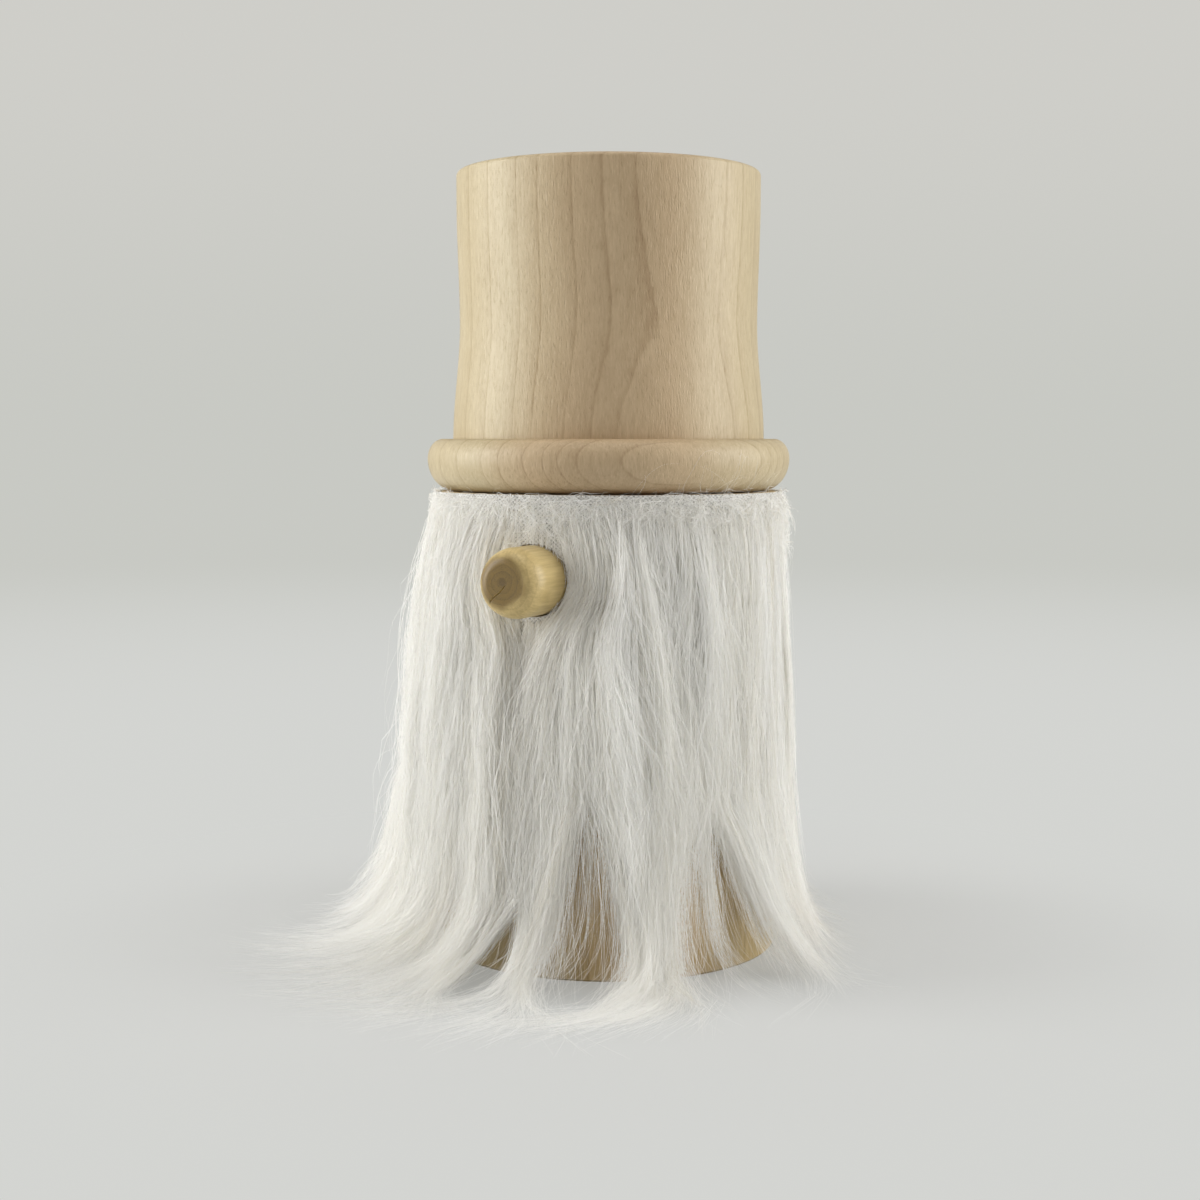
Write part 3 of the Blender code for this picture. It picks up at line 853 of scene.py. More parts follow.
def read_locks():
    """Each CAD lock's sector on the backing, its tip's angle and its reach, from its own vertices."""
    locks = []
    for name in sorted(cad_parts):
        if not name.startswith("fur_lock_"):
            continue
        points = np.array([v.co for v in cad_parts[name].data.vertices])
        theta = np.arctan2(points[:, 0], -points[:, 1])
        radius = np.hypot(points[:, 0], points[:, 1])
        top = points[:, 2] > BACKING_TOP - 3 * MM
        middle = math.atan2(points[top, 0].mean(), -points[top, 1].mean())
        spread = turn_between(theta[top], middle)
        far = radius > radius.max() - 0.5 * MM
        tip = math.atan2(points[far, 0].mean(), -points[far, 1].mean())
        locks.append({
            "node": name,
            "middle": middle,
            "half": spread.max(),
            "swing": turn_between(tip, middle),
            "reach": radius.max(),
        })
    for before, lock, after in zip(locks[-1:] + locks[:-1], locks, locks[1:] + locks[:1]):
        lock["side_reach"] = ((before["reach"] + lock["reach"]) / 2, (lock["reach"] + after["reach"]) / 2)
    return locks


def frontness(angle):
    """1 where the camera looks straight at the fur, 0 from the sides round to the back."""
    return float(smooth(1.25 * math.cos(angle - 0.6 * CAMERA_AZIMUTH) - 0.05))


def nearness(angle, centre, width):
    return math.exp(-((turn_between(angle, centre) / width) ** 2))


def hang_at(angle):
    """Loose at the back and left, close in front, flared beside the right gap, pressed flat on the right."""
    hang = mix(LOOSE_HANG, FRONT_HANG, frontness(angle))
    hang = mix(hang, FLARED_HANG, nearness(angle, *FLARED_SIDE))
    return mix(hang, FLAT_HANG, nearness(angle, *FLAT_SIDE))


def hidden_line(reach, knee_out, ankle_out, knee_height):
    """The line under the fur down to a tip at a reach: arc length from the backing's top, radius, height."""
    corners = np.array([
        (0.0, BACKING_BOTTOM),
        (knee_out, knee_height),
        (ankle_out, FLOOR_LIFT),
        (reach - BACKING_OUTER, FLOOR_LIFT),
    ])
    share = np.linspace(0, 1, 60)[:, None]
    weights = ((1 - share) ** 3, 3 * (1 - share) ** 2 * share, 3 * (1 - share) * share**2, share**3)
    curve = sum(weight * corner for weight, corner in zip(weights, corners))
    hang = np.stack([np.zeros(20), np.linspace(BACKING_TOP, BACKING_BOTTOM, 21)[:-1]], 1)
    run_on = np.stack([curve[-1, 0] + np.linspace(3, 60, 20) * MM, np.full(20, FLOOR_LIFT)], 1)
    line = np.vstack([hang, curve, run_on])
    steps = np.hypot(*np.diff(line, axis=0).T)
    along = np.concatenate(([0], np.cumsum(steps)))
    return along, BACKING_OUTER + line[:, 0], line[:, 1]


class Underside:
    """The hidden lines at a lock's two sides, and each strand's mix of them by its share across the lock."""

    def __init__(self, lock, across):
        self.across = across
        self.hangs = [hang_at(lock["middle"] + side * lock["half"]) for side in (-1, 1)]
        self.sides = []
        for reach, hang in zip(lock["side_reach"], self.hangs):
            self.sides.append(hidden_line(reach, *hang[len(PILE_PLACES):]))
        self.along = (self.sides[0][0] + self.sides[1][0]) / 2

    def at(self, places, column):
        """Radius (column 1) or height (column 2) of the line at places along it."""
        return mix(*[np.interp(places, side[0], side[column]) for side in self.sides], self.across)

    def place_of(self, radius):
        """The places along the line where it reaches one radius for each strand."""
        return mix(*[np.interp(radius, side[1], side[0]) for side in self.sides], self.across[:, 0])

    def thickness(self, places):
        rows = [np.interp(places, PILE_PLACES, hang[:len(PILE_PLACES)]) for hang in self.hangs]
        return mix(*rows, self.across)

    def above(self, places, depth):
        """Radius and height at a depth of fur over the line, out along its normal."""
        slope_r = self.at(places + 1 * MM, 1) - self.at(places - 1 * MM, 1)
        slope_z = self.at(places + 1 * MM, 2) - self.at(places - 1 * MM, 2)
        size = np.hypot(slope_r, slope_z)
        return self.at(places, 1) - slope_z / size * depth, self.at(places, 2) + slope_r / size * depth

    def steps(self, begin, length):
        """Places of each strand's steps. They lie closer together where the lock bends."""
        bend = np.interp(self.along, [60 * MM, 85 * MM, 130 * MM, 150 * MM], [0, 1, 1, 0])
        warped = np.concatenate(([0], np.cumsum(np.diff(self.along) * (1 + 1.3 * bend[1:]))))
        first = np.interp(begin, self.along, warped)[:, None]
        last = np.interp(begin + length, self.along, warped)[:, None]
        share = np.linspace(0, 1, STRAND_STEPS + 1)[None, :]
        return np.interp(mix(first, last, share), warped, self.along)


def under_brim(radius):
    """Height of the brim's underside at a radius. Nothing is overhead beyond the brim."""
    width, drop = BRIM_UNDER_ROUND
    out = np.clip((radius - BRIM_RADIUS + width) / width, 0, 1)
    return np.where(radius > BRIM_RADIUS, HAT_TOP, HAT_BASE + drop * (1 - np.sqrt(1 - out**2)))


def top_edge(rng, radius):
    """How high strands may stand, as (strand, step): each falls outward at its own rate, below the brim."""
    slope = rng.uniform(0.5, 2.4, (len(radius), 1)) ** 1.5
    fringe = np.minimum(rng.exponential(1.3 * MM, (len(radius), 1)), 3.5 * MM)
    edge = BACKING_TOP + fringe - slope * np.clip(radius - BACKING_OUTER, 0, 8 * MM)
    return np.minimum(edge, under_brim(radius) - 0.25 * MM)


def wander(rng, count, slope, waves):
    """Sideways paths, one for each strand or tuft, as a function of length: a slope with slow waves on it."""
    slopes = rng.normal(0, slope, (count, 1))
    parts = []
    for size, period in waves:
        parts.append((
            rng.normal(0, size, (count, 1)),
            period * rng.uniform(0.7, 1.5, (count, 1)),
            rng.uniform(0, math.tau, (count, 1)),
        ))

    def path(along, rows=slice(None)):
        total = slopes[rows] * along
        for size, period, phase in parts:
            turn = phase[rows]
            total = total + size[rows] * (np.sin(along / period[rows] * math.tau + turn) - np.sin(turn))
        return total

    return path


class Tufts:
    """Tufts all round the post: their bearings, depths in the pile, and how they wander, lift and curl.
    Strands draw together into tufts, and tufts into bundles."""

    def __init__(self, rng, locks):
        self.angle = np.sort(rng.uniform(-math.pi, math.pi, TUFTS))
        self.layer = rng.uniform(0.05, 0.95, TUFTS)
        self.path = wander(rng, TUFTS, TUFT_SLOPE, TUFT_PATH)
        self.lift = wander(rng, TUFTS, 0.0, TUFT_LIFT)
        self.turn = rng.normal(0, 0.24, TUFTS)
        self.tight = rng.uniform(*TUFT_TIGHT, TUFTS)
        self.firm = rng.uniform(0.72, 1.12, TUFTS)
        self.shade = rng.normal(0, 0.12, TUFTS)
        places = (np.arange(BUNDLES) + rng.uniform(-0.3, 0.3, BUNDLES)) * math.tau / BUNDLES - math.pi
        apart = np.abs(turn_between(self.angle[:, None], places[None, :]))
        self.bundle = np.argmin(apart, axis=1)
        self.bundle_angle = places[self.bundle]
        self.bundle_tight = rng.uniform(*BUNDLE_TIGHT, BUNDLES)
        self.bundle_path = wander(rng, BUNDLES, BUNDLE_SLOPE, BUNDLE_PATH)
        self.bundle_lift = wander(rng, BUNDLES, 0.0, BUNDLE_LIFT)
        # A tuft leans to the middle of the broad lock that it hangs in or beside, and swings with it
        broad = [lock for lock in locks if 2 * lock["half"] > THIN_LOCK]
        keys = ("middle", "half", "swing")
        middles, halves, swings = np.array([[lock[key] for key in keys] for lock in broad]).T
        home = np.argmin(np.abs(turn_between(self.angle[:, None], middles[None, :])) - halves, axis=1)
        self.home = middles[home]
        self.swing = swings[home]
        self.turn += rng.normal(0, 0.16, BUNDLES)[self.bundle]
        self.curl = rng.normal(0, 0.2, TUFTS) + rng.normal(0, 0.2, BUNDLES)[self.bundle]
        self.curl = self.curl + np.sign(self.swing) * 0.14

    def owners(self, rng, angle, layer):
        """For each strand, the tuft that it belongs to."""
        apart = turn_between(angle[:, None], self.angle[None, :]) * BACKING_OUTER / (4 * MM)
        deep = (layer[:, None] - self.layer[None, :]) / 0.35
        return np.argmin(apart**2 + deep**2 + rng.exponential(0.15, apart.shape), axis=1)


def strand_roots(rng, lock, count):
    """Roots all over a lock's stretch of the backing but round the nose: share across it, height and arc."""
    cross = rng.uniform(-1, 1, count)
    height = rng.uniform(BACKING_BOTTOM, BACKING_TOP - 0.1 * MM, count)
    arc = turn_between(lock["middle"] + cross * lock["half"], 0.0) * BACKING_OUTER
    # Of what would hang over the nose, half grows just below it
    rim = NOSE_RADIUS + 1.0 * MM
    lowered = (np.abs(arc) < 0.9 * rim) & (height > NOSE_HEIGHT) & (rng.random(count) < 0.5)
    below = NOSE_HEIGHT - np.sqrt(np.clip(rim**2 - arc**2, 0, None)) - rng.exponential(2.5 * MM, count)
    height = np.where(lowered, below, height)
    free = np.hypot(arc, height - NOSE_HEIGHT) > NOSE_RADIUS + 0.9 * MM
    # They thin out towards the top edge
    free &= rng.random(count) < 0.15 + (BACKING_TOP - height) / (8 * MM)
    return cross[free], height[free], arc[free]


class Pile:
    """A lock's strands: their roots, and which of them stray, stay short, keep to the lock or cross a gap."""

    def __init__(self, rng, lock, count):
        middle, half = lock["middle"], lock["half"]
        self.front = frontness(middle)
        self.sparse = max(nearness(middle, *FLARED_SIDE), nearness(middle, *FLAT_SIDE))
        self.cross, self.height, self.arc = strand_roots(rng, lock, count)
        self.count = count = len(self.cross)
        self.angle = middle + self.cross * half
        self.rise = (self.height - BACKING_BOTTOM) / BACKING_HEIGHT
        self.stray = rng.random(count) < STRAY_SHARE * mix(1.0, 0.5, self.sparse)
        by_nose = (self.arc / (11 * MM)) ** 2 + ((self.height - NOSE_HEIGHT) / (20 * MM)) ** 2
        self.short = rng.random(count) < SHORT_SHARE + 0.35 * np.exp(-(by_nose**2))
        own_share = 0.0
        if self.front > 0.5 and 2 * half < THIN_LOCK:
            own_share = STRAIGHT_LOCK_SHARE if abs(lock["swing"]) < half else SWINGING_LOCK_SHARE
        self.kept = rng.random(count) < own_share
        self.crossing = rng.random(count) < CROSSING_SHARE
        self.over_nose = self.short & (np.abs(self.arc) < NOSE_RADIUS) & (self.height > NOSE_HEIGHT)


def cut_lengths(rng, lock, pile, under):
    """Each strand's length, with the tips at ragged distances on the floor."""
    count, sparse = pile.count, pile.sparse
    length = PILE_LENGTH + np.clip(rng.normal(0, 1, count), -2, 1.6) * PILE_LENGTH_SPREAD
    length += (lock["reach"] - PILE_LENGTH) * 0.8 * (1 - pile.rise)
    ragged = 1 - mix(0.54, 0.64, sparse) * rng.random(count) ** mix(1.2, 0.85, sparse)
    length *= np.where(pile.stray, rng.uniform(*STRAY_LENGTHS, count), ragged)
    length = np.where(pile.short, rng.uniform(*SHORT_LENGTHS, count) * MM, length)
    # Short hairs above the nose end on it
    nose_top = NOSE_HEIGHT + np.sqrt(np.clip(NOSE_RADIUS**2 - pile.arc**2, 0, None))
    length = np.where(pile.over_nose, np.minimum(length, pile.height - nose_top + 1.0 * MM), length)
    farthest = lock["reach"] + TIP_BEYOND_LOCK * (mix(-0.6, 1.0, pile.front) - 4.5 * rng.random(count) ** 1.7)
    farthest = under.place_of(farthest)
    farthest = np.minimum(farthest, mix(200.0, 94 + 64 * rng.random(count) ** 1.5, sparse) * MM)
    begin = BACKING_TOP - pile.height
    return np.clip(length, LEAST_LENGTH, np.maximum(farthest - begin, LEAST_LENGTH))


def part_round_nose(theta, radius, height, above):
    """Strands from above the nose part round it and close again below."""
    arc = turn_between(theta, 0.0) * radius
    near = bell(height - NOSE_HEIGHT, np.where(height > NOSE_HEIGHT, 13 * MM, 10 * MM))
    furrow = 0.06 * bell(height - NOSE_HEIGHT, 36 * MM)
    near = np.where(height < NOSE_HEIGHT, np.maximum(near, furrow), near)
    clear = (NOSE_RADIUS + 0.7 * MM) ** 2 * near
    side = np.where(arc[:, :1] > 0, 1.0, -1.0)
    moved = (arc + side * np.sqrt(arc**2 + 4 * clear)) / 2 - arc
    moved *= above[:, None] * smooth(near * 14) * (1 - past(np.abs(arc), 18 * MM, 14 * MM))
    return theta + moved / radius


def part_above_foot(theta, radius, height, firmness):
    """Locks part over the post's foot, with ragged edges, crossed by a few hairs."""
    for top_angle, floor_angle, gap_half, gap_top in PARTINGS:
        drop = np.clip(1 - height / gap_top, 0, 1)
        near = 1 - past(radius, 62 * MM, 30 * MM)
        offset = turn_between(theta, np.radians(mix(top_angle, floor_angle, drop))) * radius
        side = np.where(offset[:, :6].mean(axis=1, keepdims=True) > 0, 1.0, -1.0)
        push = (gap_half * drop * firmness[:, None]) ** 2 * near * bell(offset, 20 * MM)
        moved = (offset + side * np.sqrt(offset**2 + 4 * push)) / 2 - offset
        moved = np.where(np.abs(offset) < 60 * MM, moved, 0)
        theta = theta + moved * smooth(4 * drop * near * firmness[:, None]) / radius
    return theta


def pile_layer(rng, pile):
    """Each strand's depth in the pile: the upper roots' strands lie over the lower ones'."""
    layer = np.clip(0.10 + 0.75 * pile.rise + rng.normal(0, 0.15, pile.count), 0.02, 1.1)
    layer = np.where(pile.stray, layer * rng.uniform(0.9, 1.5, pile.count), layer)
    return np.where(pile.short, layer * rng.uniform(0.2, 0.9, pile.count), layer)


def thin_by_nose(bearing, sideways, height):
    """The share of its depth that the pile keeps: little beside the nose and in the furrow round it."""
    arc = (turn_between(bearing, 0.0) * BACKING_OUTER + sideways) / (12 * MM)
    rise = (height - NOSE_HEIGHT) / (22 * MM)
    return 1 - 0.82 * np.exp(-(arc**2 + rise**2))


def comb_strands(rng, lock, count, tufts):
    """The centre lines of a lock's strands, as (strand, step, xyz), with each one's shade."""
    middle = lock["middle"]
    pile = Pile(rng, lock, count)
    count, sparse, stray, kept = pile.count, pile.sparse, pile.stray, pile.kept
    under = Underside(lock, np.clip((pile.cross + 1) / 2, 0, 1)[:, None])
    length = cut_lengths(rng, lock, pile, under)
    place = under.steps(BACKING_TOP - pile.height, length)
    gone = place - (BACKING_TOP - pile.height)[:, None]
    radius, height = under.at(place, 1), under.at(place, 2)
    fallen = np.clip(1 - height / BACKING_BOTTOM, 0, 1)
    out = np.clip((radius - BACKING_OUTER) / (lock["reach"] - BACKING_OUTER), 0, 1.4)
    layer = pile_layer(rng, pile)
    owner = tufts.owners(rng, pile.angle, layer)

    def of_tuft(values):
        """Each strand's own tuft's value, as a column."""
        return values[owner][:, None]

    # Strands draw together into tufts, and tufts into bundles. A thin lock's own strands keep to its middle.
    own_path = wander(rng, count, STRAND_SLOPE, STRAND_PATH)
    own_lift = wander(rng, count, 0.0, STRAND_LIFT)
    wild = np.where(stray, rng.uniform(*STRAY_WANDER, count), 1.0)[:, None]
    loose = np.where(stray, STRAY_FOLLOWS, 1.0)[:, None]
    draw = of_tuft(tufts.tight) * past(gone, 10 * MM, length[:, None] * 0.8) * loose
    gather = of_tuft(tufts.bundle_tight[tufts.bundle]) * past(place, 62 * MM, 60 * MM) * loose
    together = THIN_TIGHT * past(place, 66 * MM, 26 * MM) * loose * kept[:, None]
    angle = np.repeat(pile.angle[:, None], STRAND_STEPS + 1, axis=1)
    for target, pull in (
        (of_tuft(tufts.angle), draw),
        (of_tuft(tufts.bundle_angle), gather),
        (middle, together),
    ):
        angle = angle + turn_between(target, angle) * pull
    # Bearing: the locks narrow as they fall, and swing on the floor
    waist = mix(1.0, mix(BACK_WAIST, FRONT_WAIST, pile.front), fallen**0.7) * mix(1.0, 0.8, smooth(out))
    home = np.where(kept[:, None], middle, of_tuft(tufts.home))
    swing = np.where(kept[:, None], lock["swing"], of_tuft(tufts.swing))
    bearing = home + swing * smooth(out) + turn_between(angle, home) * waist
    # Sideways: the upper strands wander most, and the lower ones fill what opens between them
    follow = smooth(0.15 + 1.5 * layer)[:, None]
    leave = smooth(gone / (20 * MM))
    sideways = own_path(gone) * wild
    sideways += tufts.bundle_path(place, tufts.bundle[owner]) * leave * follow
    sideways += tufts.path(gone, owner) * mix(0.6, 1.0, follow)
    sideways *= np.where(kept, 0.4, 1.0)[:, None]
    floor_run = np.clip(radius - BACKING_OUTER - 9 * MM, 0, None)
    sideways += floor_run * (tufts.turn[owner] + rng.normal(0, 0.22, count))[:, None]
    sideways += floor_run**2 / (40 * MM) * of_tuft(tufts.curl)
    # Depth above the hidden line
    layer_now = mix(layer[:, None], of_tuft(tufts.layer), draw * 0.7) * smooth(0.2 + gone / (15 * MM))
    thickness = under.thickness(place) * mix(1.0, 0.32, smooth(out * 1.1))
    ruffle = own_lift(gone) * mix(wild, 1.0, 0.8 * sparse) + tufts.lift(gone, owner)
    ruffle = ruffle + tufts.bundle_lift(place, tufts.bundle[owner])
    depth = layer_now * thickness + ruffle * leave * mix(1.0, 0.15, sparse)
    depth = np.maximum(depth * thin_by_nose(bearing, sideways, height), 0.05 * MM)
    radius, height = under.above(place, depth)
    # Hairs stand out and up from the backing before they fall
    spring = rng.uniform(0.0, 1.0, count)[:, None] * mix(2.0, 1.2, sparse) * MM
    height += spring * np.sin(np.clip(gone / (9 * MM), 0, 1) * math.pi)
    radius += spring * 0.5 * np.sin(np.clip(gone / (7 * MM), 0, 1) * math.pi)
    radius[:, 0] = BACKING_OUTER - ROOT_DEPTH
    height[:, 0] = pile.height
    height = np.clip(height, FLOOR_LIFT, top_edge(rng, radius))
    # Partings round the nose and over the post's foot
    above = (pile.height > NOSE_HEIGHT) & ~pile.over_nose
    theta = part_round_nose(bearing + sideways / radius, radius, height, above)
    firmness = tufts.firm[owner] * rng.uniform(0.8, 1.1, count) * np.where(stray, 0.7, 1.0)
    theta = part_above_foot(theta, radius, height, np.where(kept | pile.crossing, 0.0, firmness))
    shade = 0.55 + rng.normal(0, 0.16, count) + tufts.shade[owner]
    return round_post(theta, radius, height), np.clip(shade, 0.02, 0.98)


def fuzz_hairs(rng, lock, count):
    """Short disordered hairs under the brim, many in small curling clumps, as centre lines and shades."""
    flat = nearness(lock["middle"], *FLAT_SIDE)
    clumps = max(2, count // 16)
    clump_cross = rng.uniform(-1, 1, clumps)
    clump_drop = rng.exponential(5 * MM, clumps)
    clump_heading = rng.normal(-math.pi / 2, 1.0, clumps)
    clump_curl = rng.normal(0, 1.1, clumps)
    clump_lift = rng.uniform(0.6, 2.6, clumps) + 3.0 * flat * rng.random(clumps) * (rng.random(clumps) < 0.25)
    clump_lift *= MM
    owner = rng.integers(0, clumps, count)
    alone = rng.random(count) < 0.45

    def either(lone, shared):
        return np.where(alone, lone, shared)

    cross = either(rng.uniform(-1, 1, count), clump_cross[owner] + rng.normal(0, 0.07, count))
    drop = either(rng.exponential(6 * MM, count), clump_drop[owner] + rng.normal(0, 0.7 * MM, count))
    root = BACKING_TOP - np.clip(drop, 0.1 * MM, 30 * MM)
    heading = either(rng.normal(-math.pi / 2, 1.8, count), clump_heading[owner] + rng.normal(0, 0.25, count))
    curl = either(rng.normal(0, 1.2, count), clump_curl[owner] + rng.normal(0, 0.3, count))
    lift = either(rng.uniform(0.4, 2.6, count) * MM, clump_lift[owner] * rng.uniform(0.7, 1.2, count))
    length = rng.uniform(4, 13, count) * MM
    share = np.linspace(0, 1, FUZZ_STEPS + 1)[None, :]
    bearing = heading[:, None] + curl[:, None] * share
    step = (length / FUZZ_STEPS)[:, None]
    side = np.cumsum(np.cos(bearing) * step, axis=1) - np.cos(bearing[:, :1]) * step
    up = np.cumsum(np.sin(bearing) * step, axis=1) - np.sin(bearing[:, :1]) * step
    radius = BACKING_OUTER - ROOT_DEPTH + lift[:, None] * np.sin(share * 2.1)
    height = root[:, None] + up - 0.25 * length[:, None] * share**2
    height = np.minimum(height, top_edge(rng, radius))
    angle = lock["middle"] + cross[:, None] * lock["half"] + side / radius
    # None of them crosses the nose
    arc = turn_between(angle, 0.0) * BACKING_OUTER
    clear = (np.hypot(arc, height - NOSE_HEIGHT) > NOSE_RADIUS + 0.5 * MM).all(axis=1)
    shade = np.clip(rng.normal(0.6, 0.3, count), 0.02, 0.98)
    return round_post(angle, radius, height)[clear], shade[clear]


def brim_hairs(rng):
    """A few fine hairs that stand up from under the brim and cross it, without touching it."""
    theta = np.radians(rng.triangular(*BRIM_HAIR_BEARINGS, BRIM_HAIRS))
    rise = (2 + 13 * rng.random(BRIM_HAIRS) ** 4.0) * MM
    lean = rng.normal(0.35, 0.6, BRIM_HAIRS)
    curl = rng.normal(0, 0.6, BRIM_HAIRS)
    share = np.linspace(0, 1, FUZZ_STEPS + 1)[None, :]
    up = np.sin(share * rng.uniform(1.3, 2.4, BRIM_HAIRS)[:, None]) * rise[:, None]
    height = BACKING_TOP - rng.uniform(0.3, 4.0, BRIM_HAIRS)[:, None] * MM + up
    # The brim bulges most at a third of its thickness above its foot
    below_bulge = np.clip((HAT_BASE + 6.5 * MM - height) / (8 * MM), 0, 1)
    bulge = BRIM_RADIUS + 0.6 * MM - 5.2 * MM * below_bulge**2
    radius = BACKING_OUTER - ROOT_DEPTH + 4 * MM * smooth(share * 3)
    radius = np.maximum(radius, np.where(share > 0.12, bulge, 0))
    radius = radius + 1.5 * MM * share * rng.random(BRIM_HAIRS)[:, None]
    turn = (lean[:, None] * share + curl[:, None] * share**2) * rise[:, None] * 1.2
    return round_post(theta[:, None] + turn / radius, radius, height), rng.uniform(0.4, 0.95, BRIM_HAIRS)


def strand_arrays(rng, lines, shades, width):
    """Tapering flat fibres along the lines, each turned about itself: points, quads, and each point's shade
    and share of the way from root to tip."""
    count, steps, _ = lines.shape
    tangent = np.gradient(lines, axis=1)
    tangent /= np.linalg.norm(tangent, axis=-1, keepdims=True) + 1e-12
    outward = lines * (1, 1, 0)
    outward /= np.linalg.norm(outward, axis=-1, keepdims=True)
    outward = outward + (0, 0, 0.35)
    first = np.cross(tangent, outward)
    first /= np.linalg.norm(first, axis=-1, keepdims=True) + 1e-12
    second = np.cross(first, tangent)
    share = np.linspace(0, 1, steps)
    taper = np.interp(share, [0, 0.1, 0.6, 1.0], [0.7, 1.0, 0.8, 0.12])
    half = width / 2 * rng.uniform(0.7, 1.3, count)[:, None, None] * taper[None, :, None]
    turned = rng.uniform(-1.1, 1.1, count)[:, None, None]
    across = half * (np.cos(turned) * first + np.sin(turned) * second)
    points = np.stack([lines - across, lines + across], axis=2).reshape(-1, 3)
    index = np.arange(count * steps * 2).reshape(count, steps, 2)
    here, ahead = index[:, :-1], index[:, 1:]
    quads = np.stack([here[..., 0], here[..., 1], ahead[..., 1], ahead[..., 0]], -1).reshape(-1, 4)
    marks = np.stack([np.repeat(shades, steps * 2), np.tile(np.repeat(share, 2), count)], 1)
    return points, quads, marks


def strand_mesh(name, sets):
    """One mesh of several sets of strands, with the UV map's U as the shade and V from root to tip."""
    points, quads, marks, filled = [], [], [], 0
    for set_points, set_quads, set_marks in sets:
        points.append(set_points)
        quads.append(set_quads + filled)
        marks.append(set_marks)
        filled += len(set_points)
    loops = np.concatenate(quads).ravel()
    mesh = mesh_from_arrays(name, np.concatenate(points), loops, np.full(len(loops) // 4, 4))
    layer = mesh.uv_layers.new(name=UV_MAP)
    layer.data.foreach_set("uv", np.concatenate(marks)[loops].astype(np.float32).ravel())
    return mesh


def make_fur(material):
    """One mesh of strands for each lock."""
    share = 1.0
    width = STRAND_WIDTH / share**0.5
    locks = read_locks()
    tufts = Tufts(np.random.default_rng(SEED), locks)
    for number, lock in enumerate(locks, start=1):
        rng = np.random.default_rng(SEED + number)
        density = mix(BACK_STRANDS_PER_RADIAN, FRONT_STRANDS_PER_RADIAN, frontness(lock["middle"]))
        count = int(min(density * 2 * lock["half"], MOST_STRANDS) * share)
        sets = [strand_arrays(rng, *comb_strands(rng, lock, count, tufts), width)]
        fuzz_count = int(FUZZ_PER_RADIAN * 2 * lock["half"] * share)
        sets.append(strand_arrays(rng, *fuzz_hairs(rng, lock, fuzz_count), width))
        if abs(lock["middle"] - BRIM_HAIRS_AT) < lock["half"]:
            sets.append(strand_arrays(rng, *brim_hairs(rng), width * BRIM_HAIR_WIDTH))
        name = f"fur_pile_{number:02d}"
        add_piece(name, strand_mesh(name, sets), material, "fur_pile", lock["node"])


# Stage, light and camera


def make_stage():
    """A round floor. Near the figure it takes light and shadow, and the camera sees that shadow lightened by a
    painted glow. Farther out it shows the backdrop's tone.
    """
    builder = bmesh.new()
    bmesh.ops.create_circle(builder, cap_ends=True, segments=96, radius=FLOOR_RADIUS)
    floor = link(bpy.data.objects.new("floor", built_mesh("floor", builder)))
    floor.location.z = -FLOOR_DROP
    material, graph = new_material("floor")
    distance = graph.vector("LENGTH", graph.here())
    # Painted light: the camera sees 0.4 of the glow even at the figure, which lightens its shadow on the floor
    far = graph.ramp(distance, [(0.085, 0.4), (0.20, 1.0)], "EASE")
    tone = graph.ramp(graph.maths("DIVIDE", distance, 2.0), [(0.2, FLOOR_GLOW), (0.9, BACKDROP_LOW)], "EASE")
    seen = graph.add("LightPath").outputs["Is Camera Ray"]
    matt = graph.add("BsdfDiffuse", {"Color": (*FLOOR_COLOUR, 1)})
    glow = graph.add("Emission", {"Color": tone, "Strength": 1.0})
    graph.surface(graph.either(graph.times(far, seen), matt, glow))
    floor.data.materials.append(material)


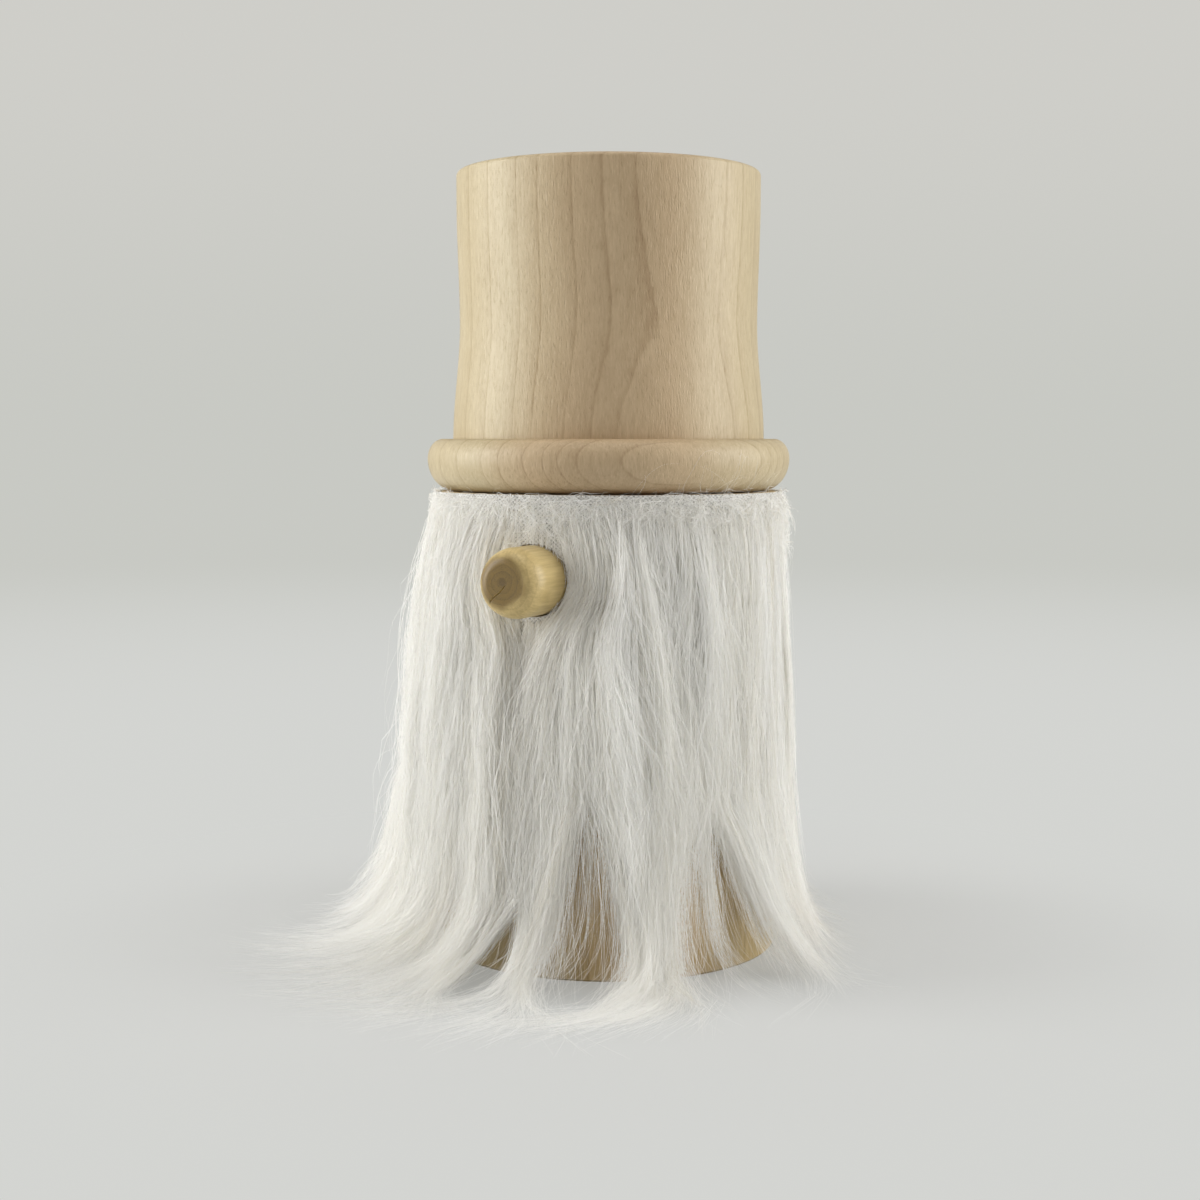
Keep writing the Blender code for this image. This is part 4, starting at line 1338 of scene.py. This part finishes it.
def make_world():
    """An even fill light, and a pale backdrop that only the camera sees."""
    world = bpy.data.worlds.new("studio")
    bpy.context.scene.world = world
    graph = Graph(world)
    seen = graph.add("LightPath").outputs["Is Camera Ray"]
    up = graph.split(graph.here("Generated"), "Z")
    sky = graph.ramp(up, [(0.0, BACKDROP_LOW), (0.20, BACKDROP_HIGH)], "EASE")
    fill = graph.add("Background", {"Color": (*AMBIENT_COLOUR, 1), "Strength": AMBIENT})
    shown = graph.add("Background", {"Color": sky, "Strength": 1.0})
    graph.surface(graph.either(seen, fill, shown), "OutputWorld")


def make_lights():
    """Rectangular lamps round the figure, aimed at its middle."""
    for name, (from_camera, distance, height, width, tall, power, colour) in SOFTBOXES.items():
        lamp = bpy.data.lights.new(name, "AREA")
        lamp.shape = "RECTANGLE"
        lamp.size = width
        lamp.size_y = tall
        lamp.energy = power
        lamp.color = colour
        obj = link(bpy.data.objects.new(name, lamp))
        bearing = CAMERA_AZIMUTH + math.radians(from_camera)
        obj.location = (distance * math.sin(bearing), -distance * math.cos(bearing), height)
        aim = Vector((0, 0, LIGHT_AIM)) - obj.location
        obj.rotation_euler = aim.to_track_quat("-Z", "Y").to_euler()
        obj.visible_camera = False


def make_camera():
    data = bpy.data.cameras.new("camera")
    data.lens = CAMERA_LENS_MM
    data.sensor_width = CAMERA_SENSOR_MM
    data.clip_start = CAMERA_NEAR
    obj = link(bpy.data.objects.new("camera", data))
    out = Vector((math.sin(CAMERA_AZIMUTH), -math.cos(CAMERA_AZIMUTH), 0))
    right = Vector((math.cos(CAMERA_AZIMUTH), math.sin(CAMERA_AZIMUTH), 0))
    obj.location = out * CAMERA_DISTANCE + right * CAMERA_SIDE_SHIFT + Vector((0, 0, CAMERA_HEIGHT))
    obj.rotation_euler = (math.pi / 2 - CAMERA_PITCH, 0, CAMERA_AZIMUTH)
    bpy.context.scene.camera = obj


def main():
    scene = bpy.context.scene
    scene.view_settings.view_transform = "Standard"
    scene.cycles.diffuse_bounces = 16
    scene.cycles.max_bounces = 20
    make_camera()
    make_stage()
    make_world()
    make_lights()
    make_hat(wood_material("hat_maple", *HAT_RINGS))
    make_post(wood_material("post_maple", *POST_RINGS, POST_PAINTED_LIGHT))
    make_nose(nose_material())
    make_backing(knit_material())
    make_fur(fur_material())
    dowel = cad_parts["hat_dowel"]
    dowel.data.materials.clear()
    dowel.data.materials.append(dowel_material())


main()
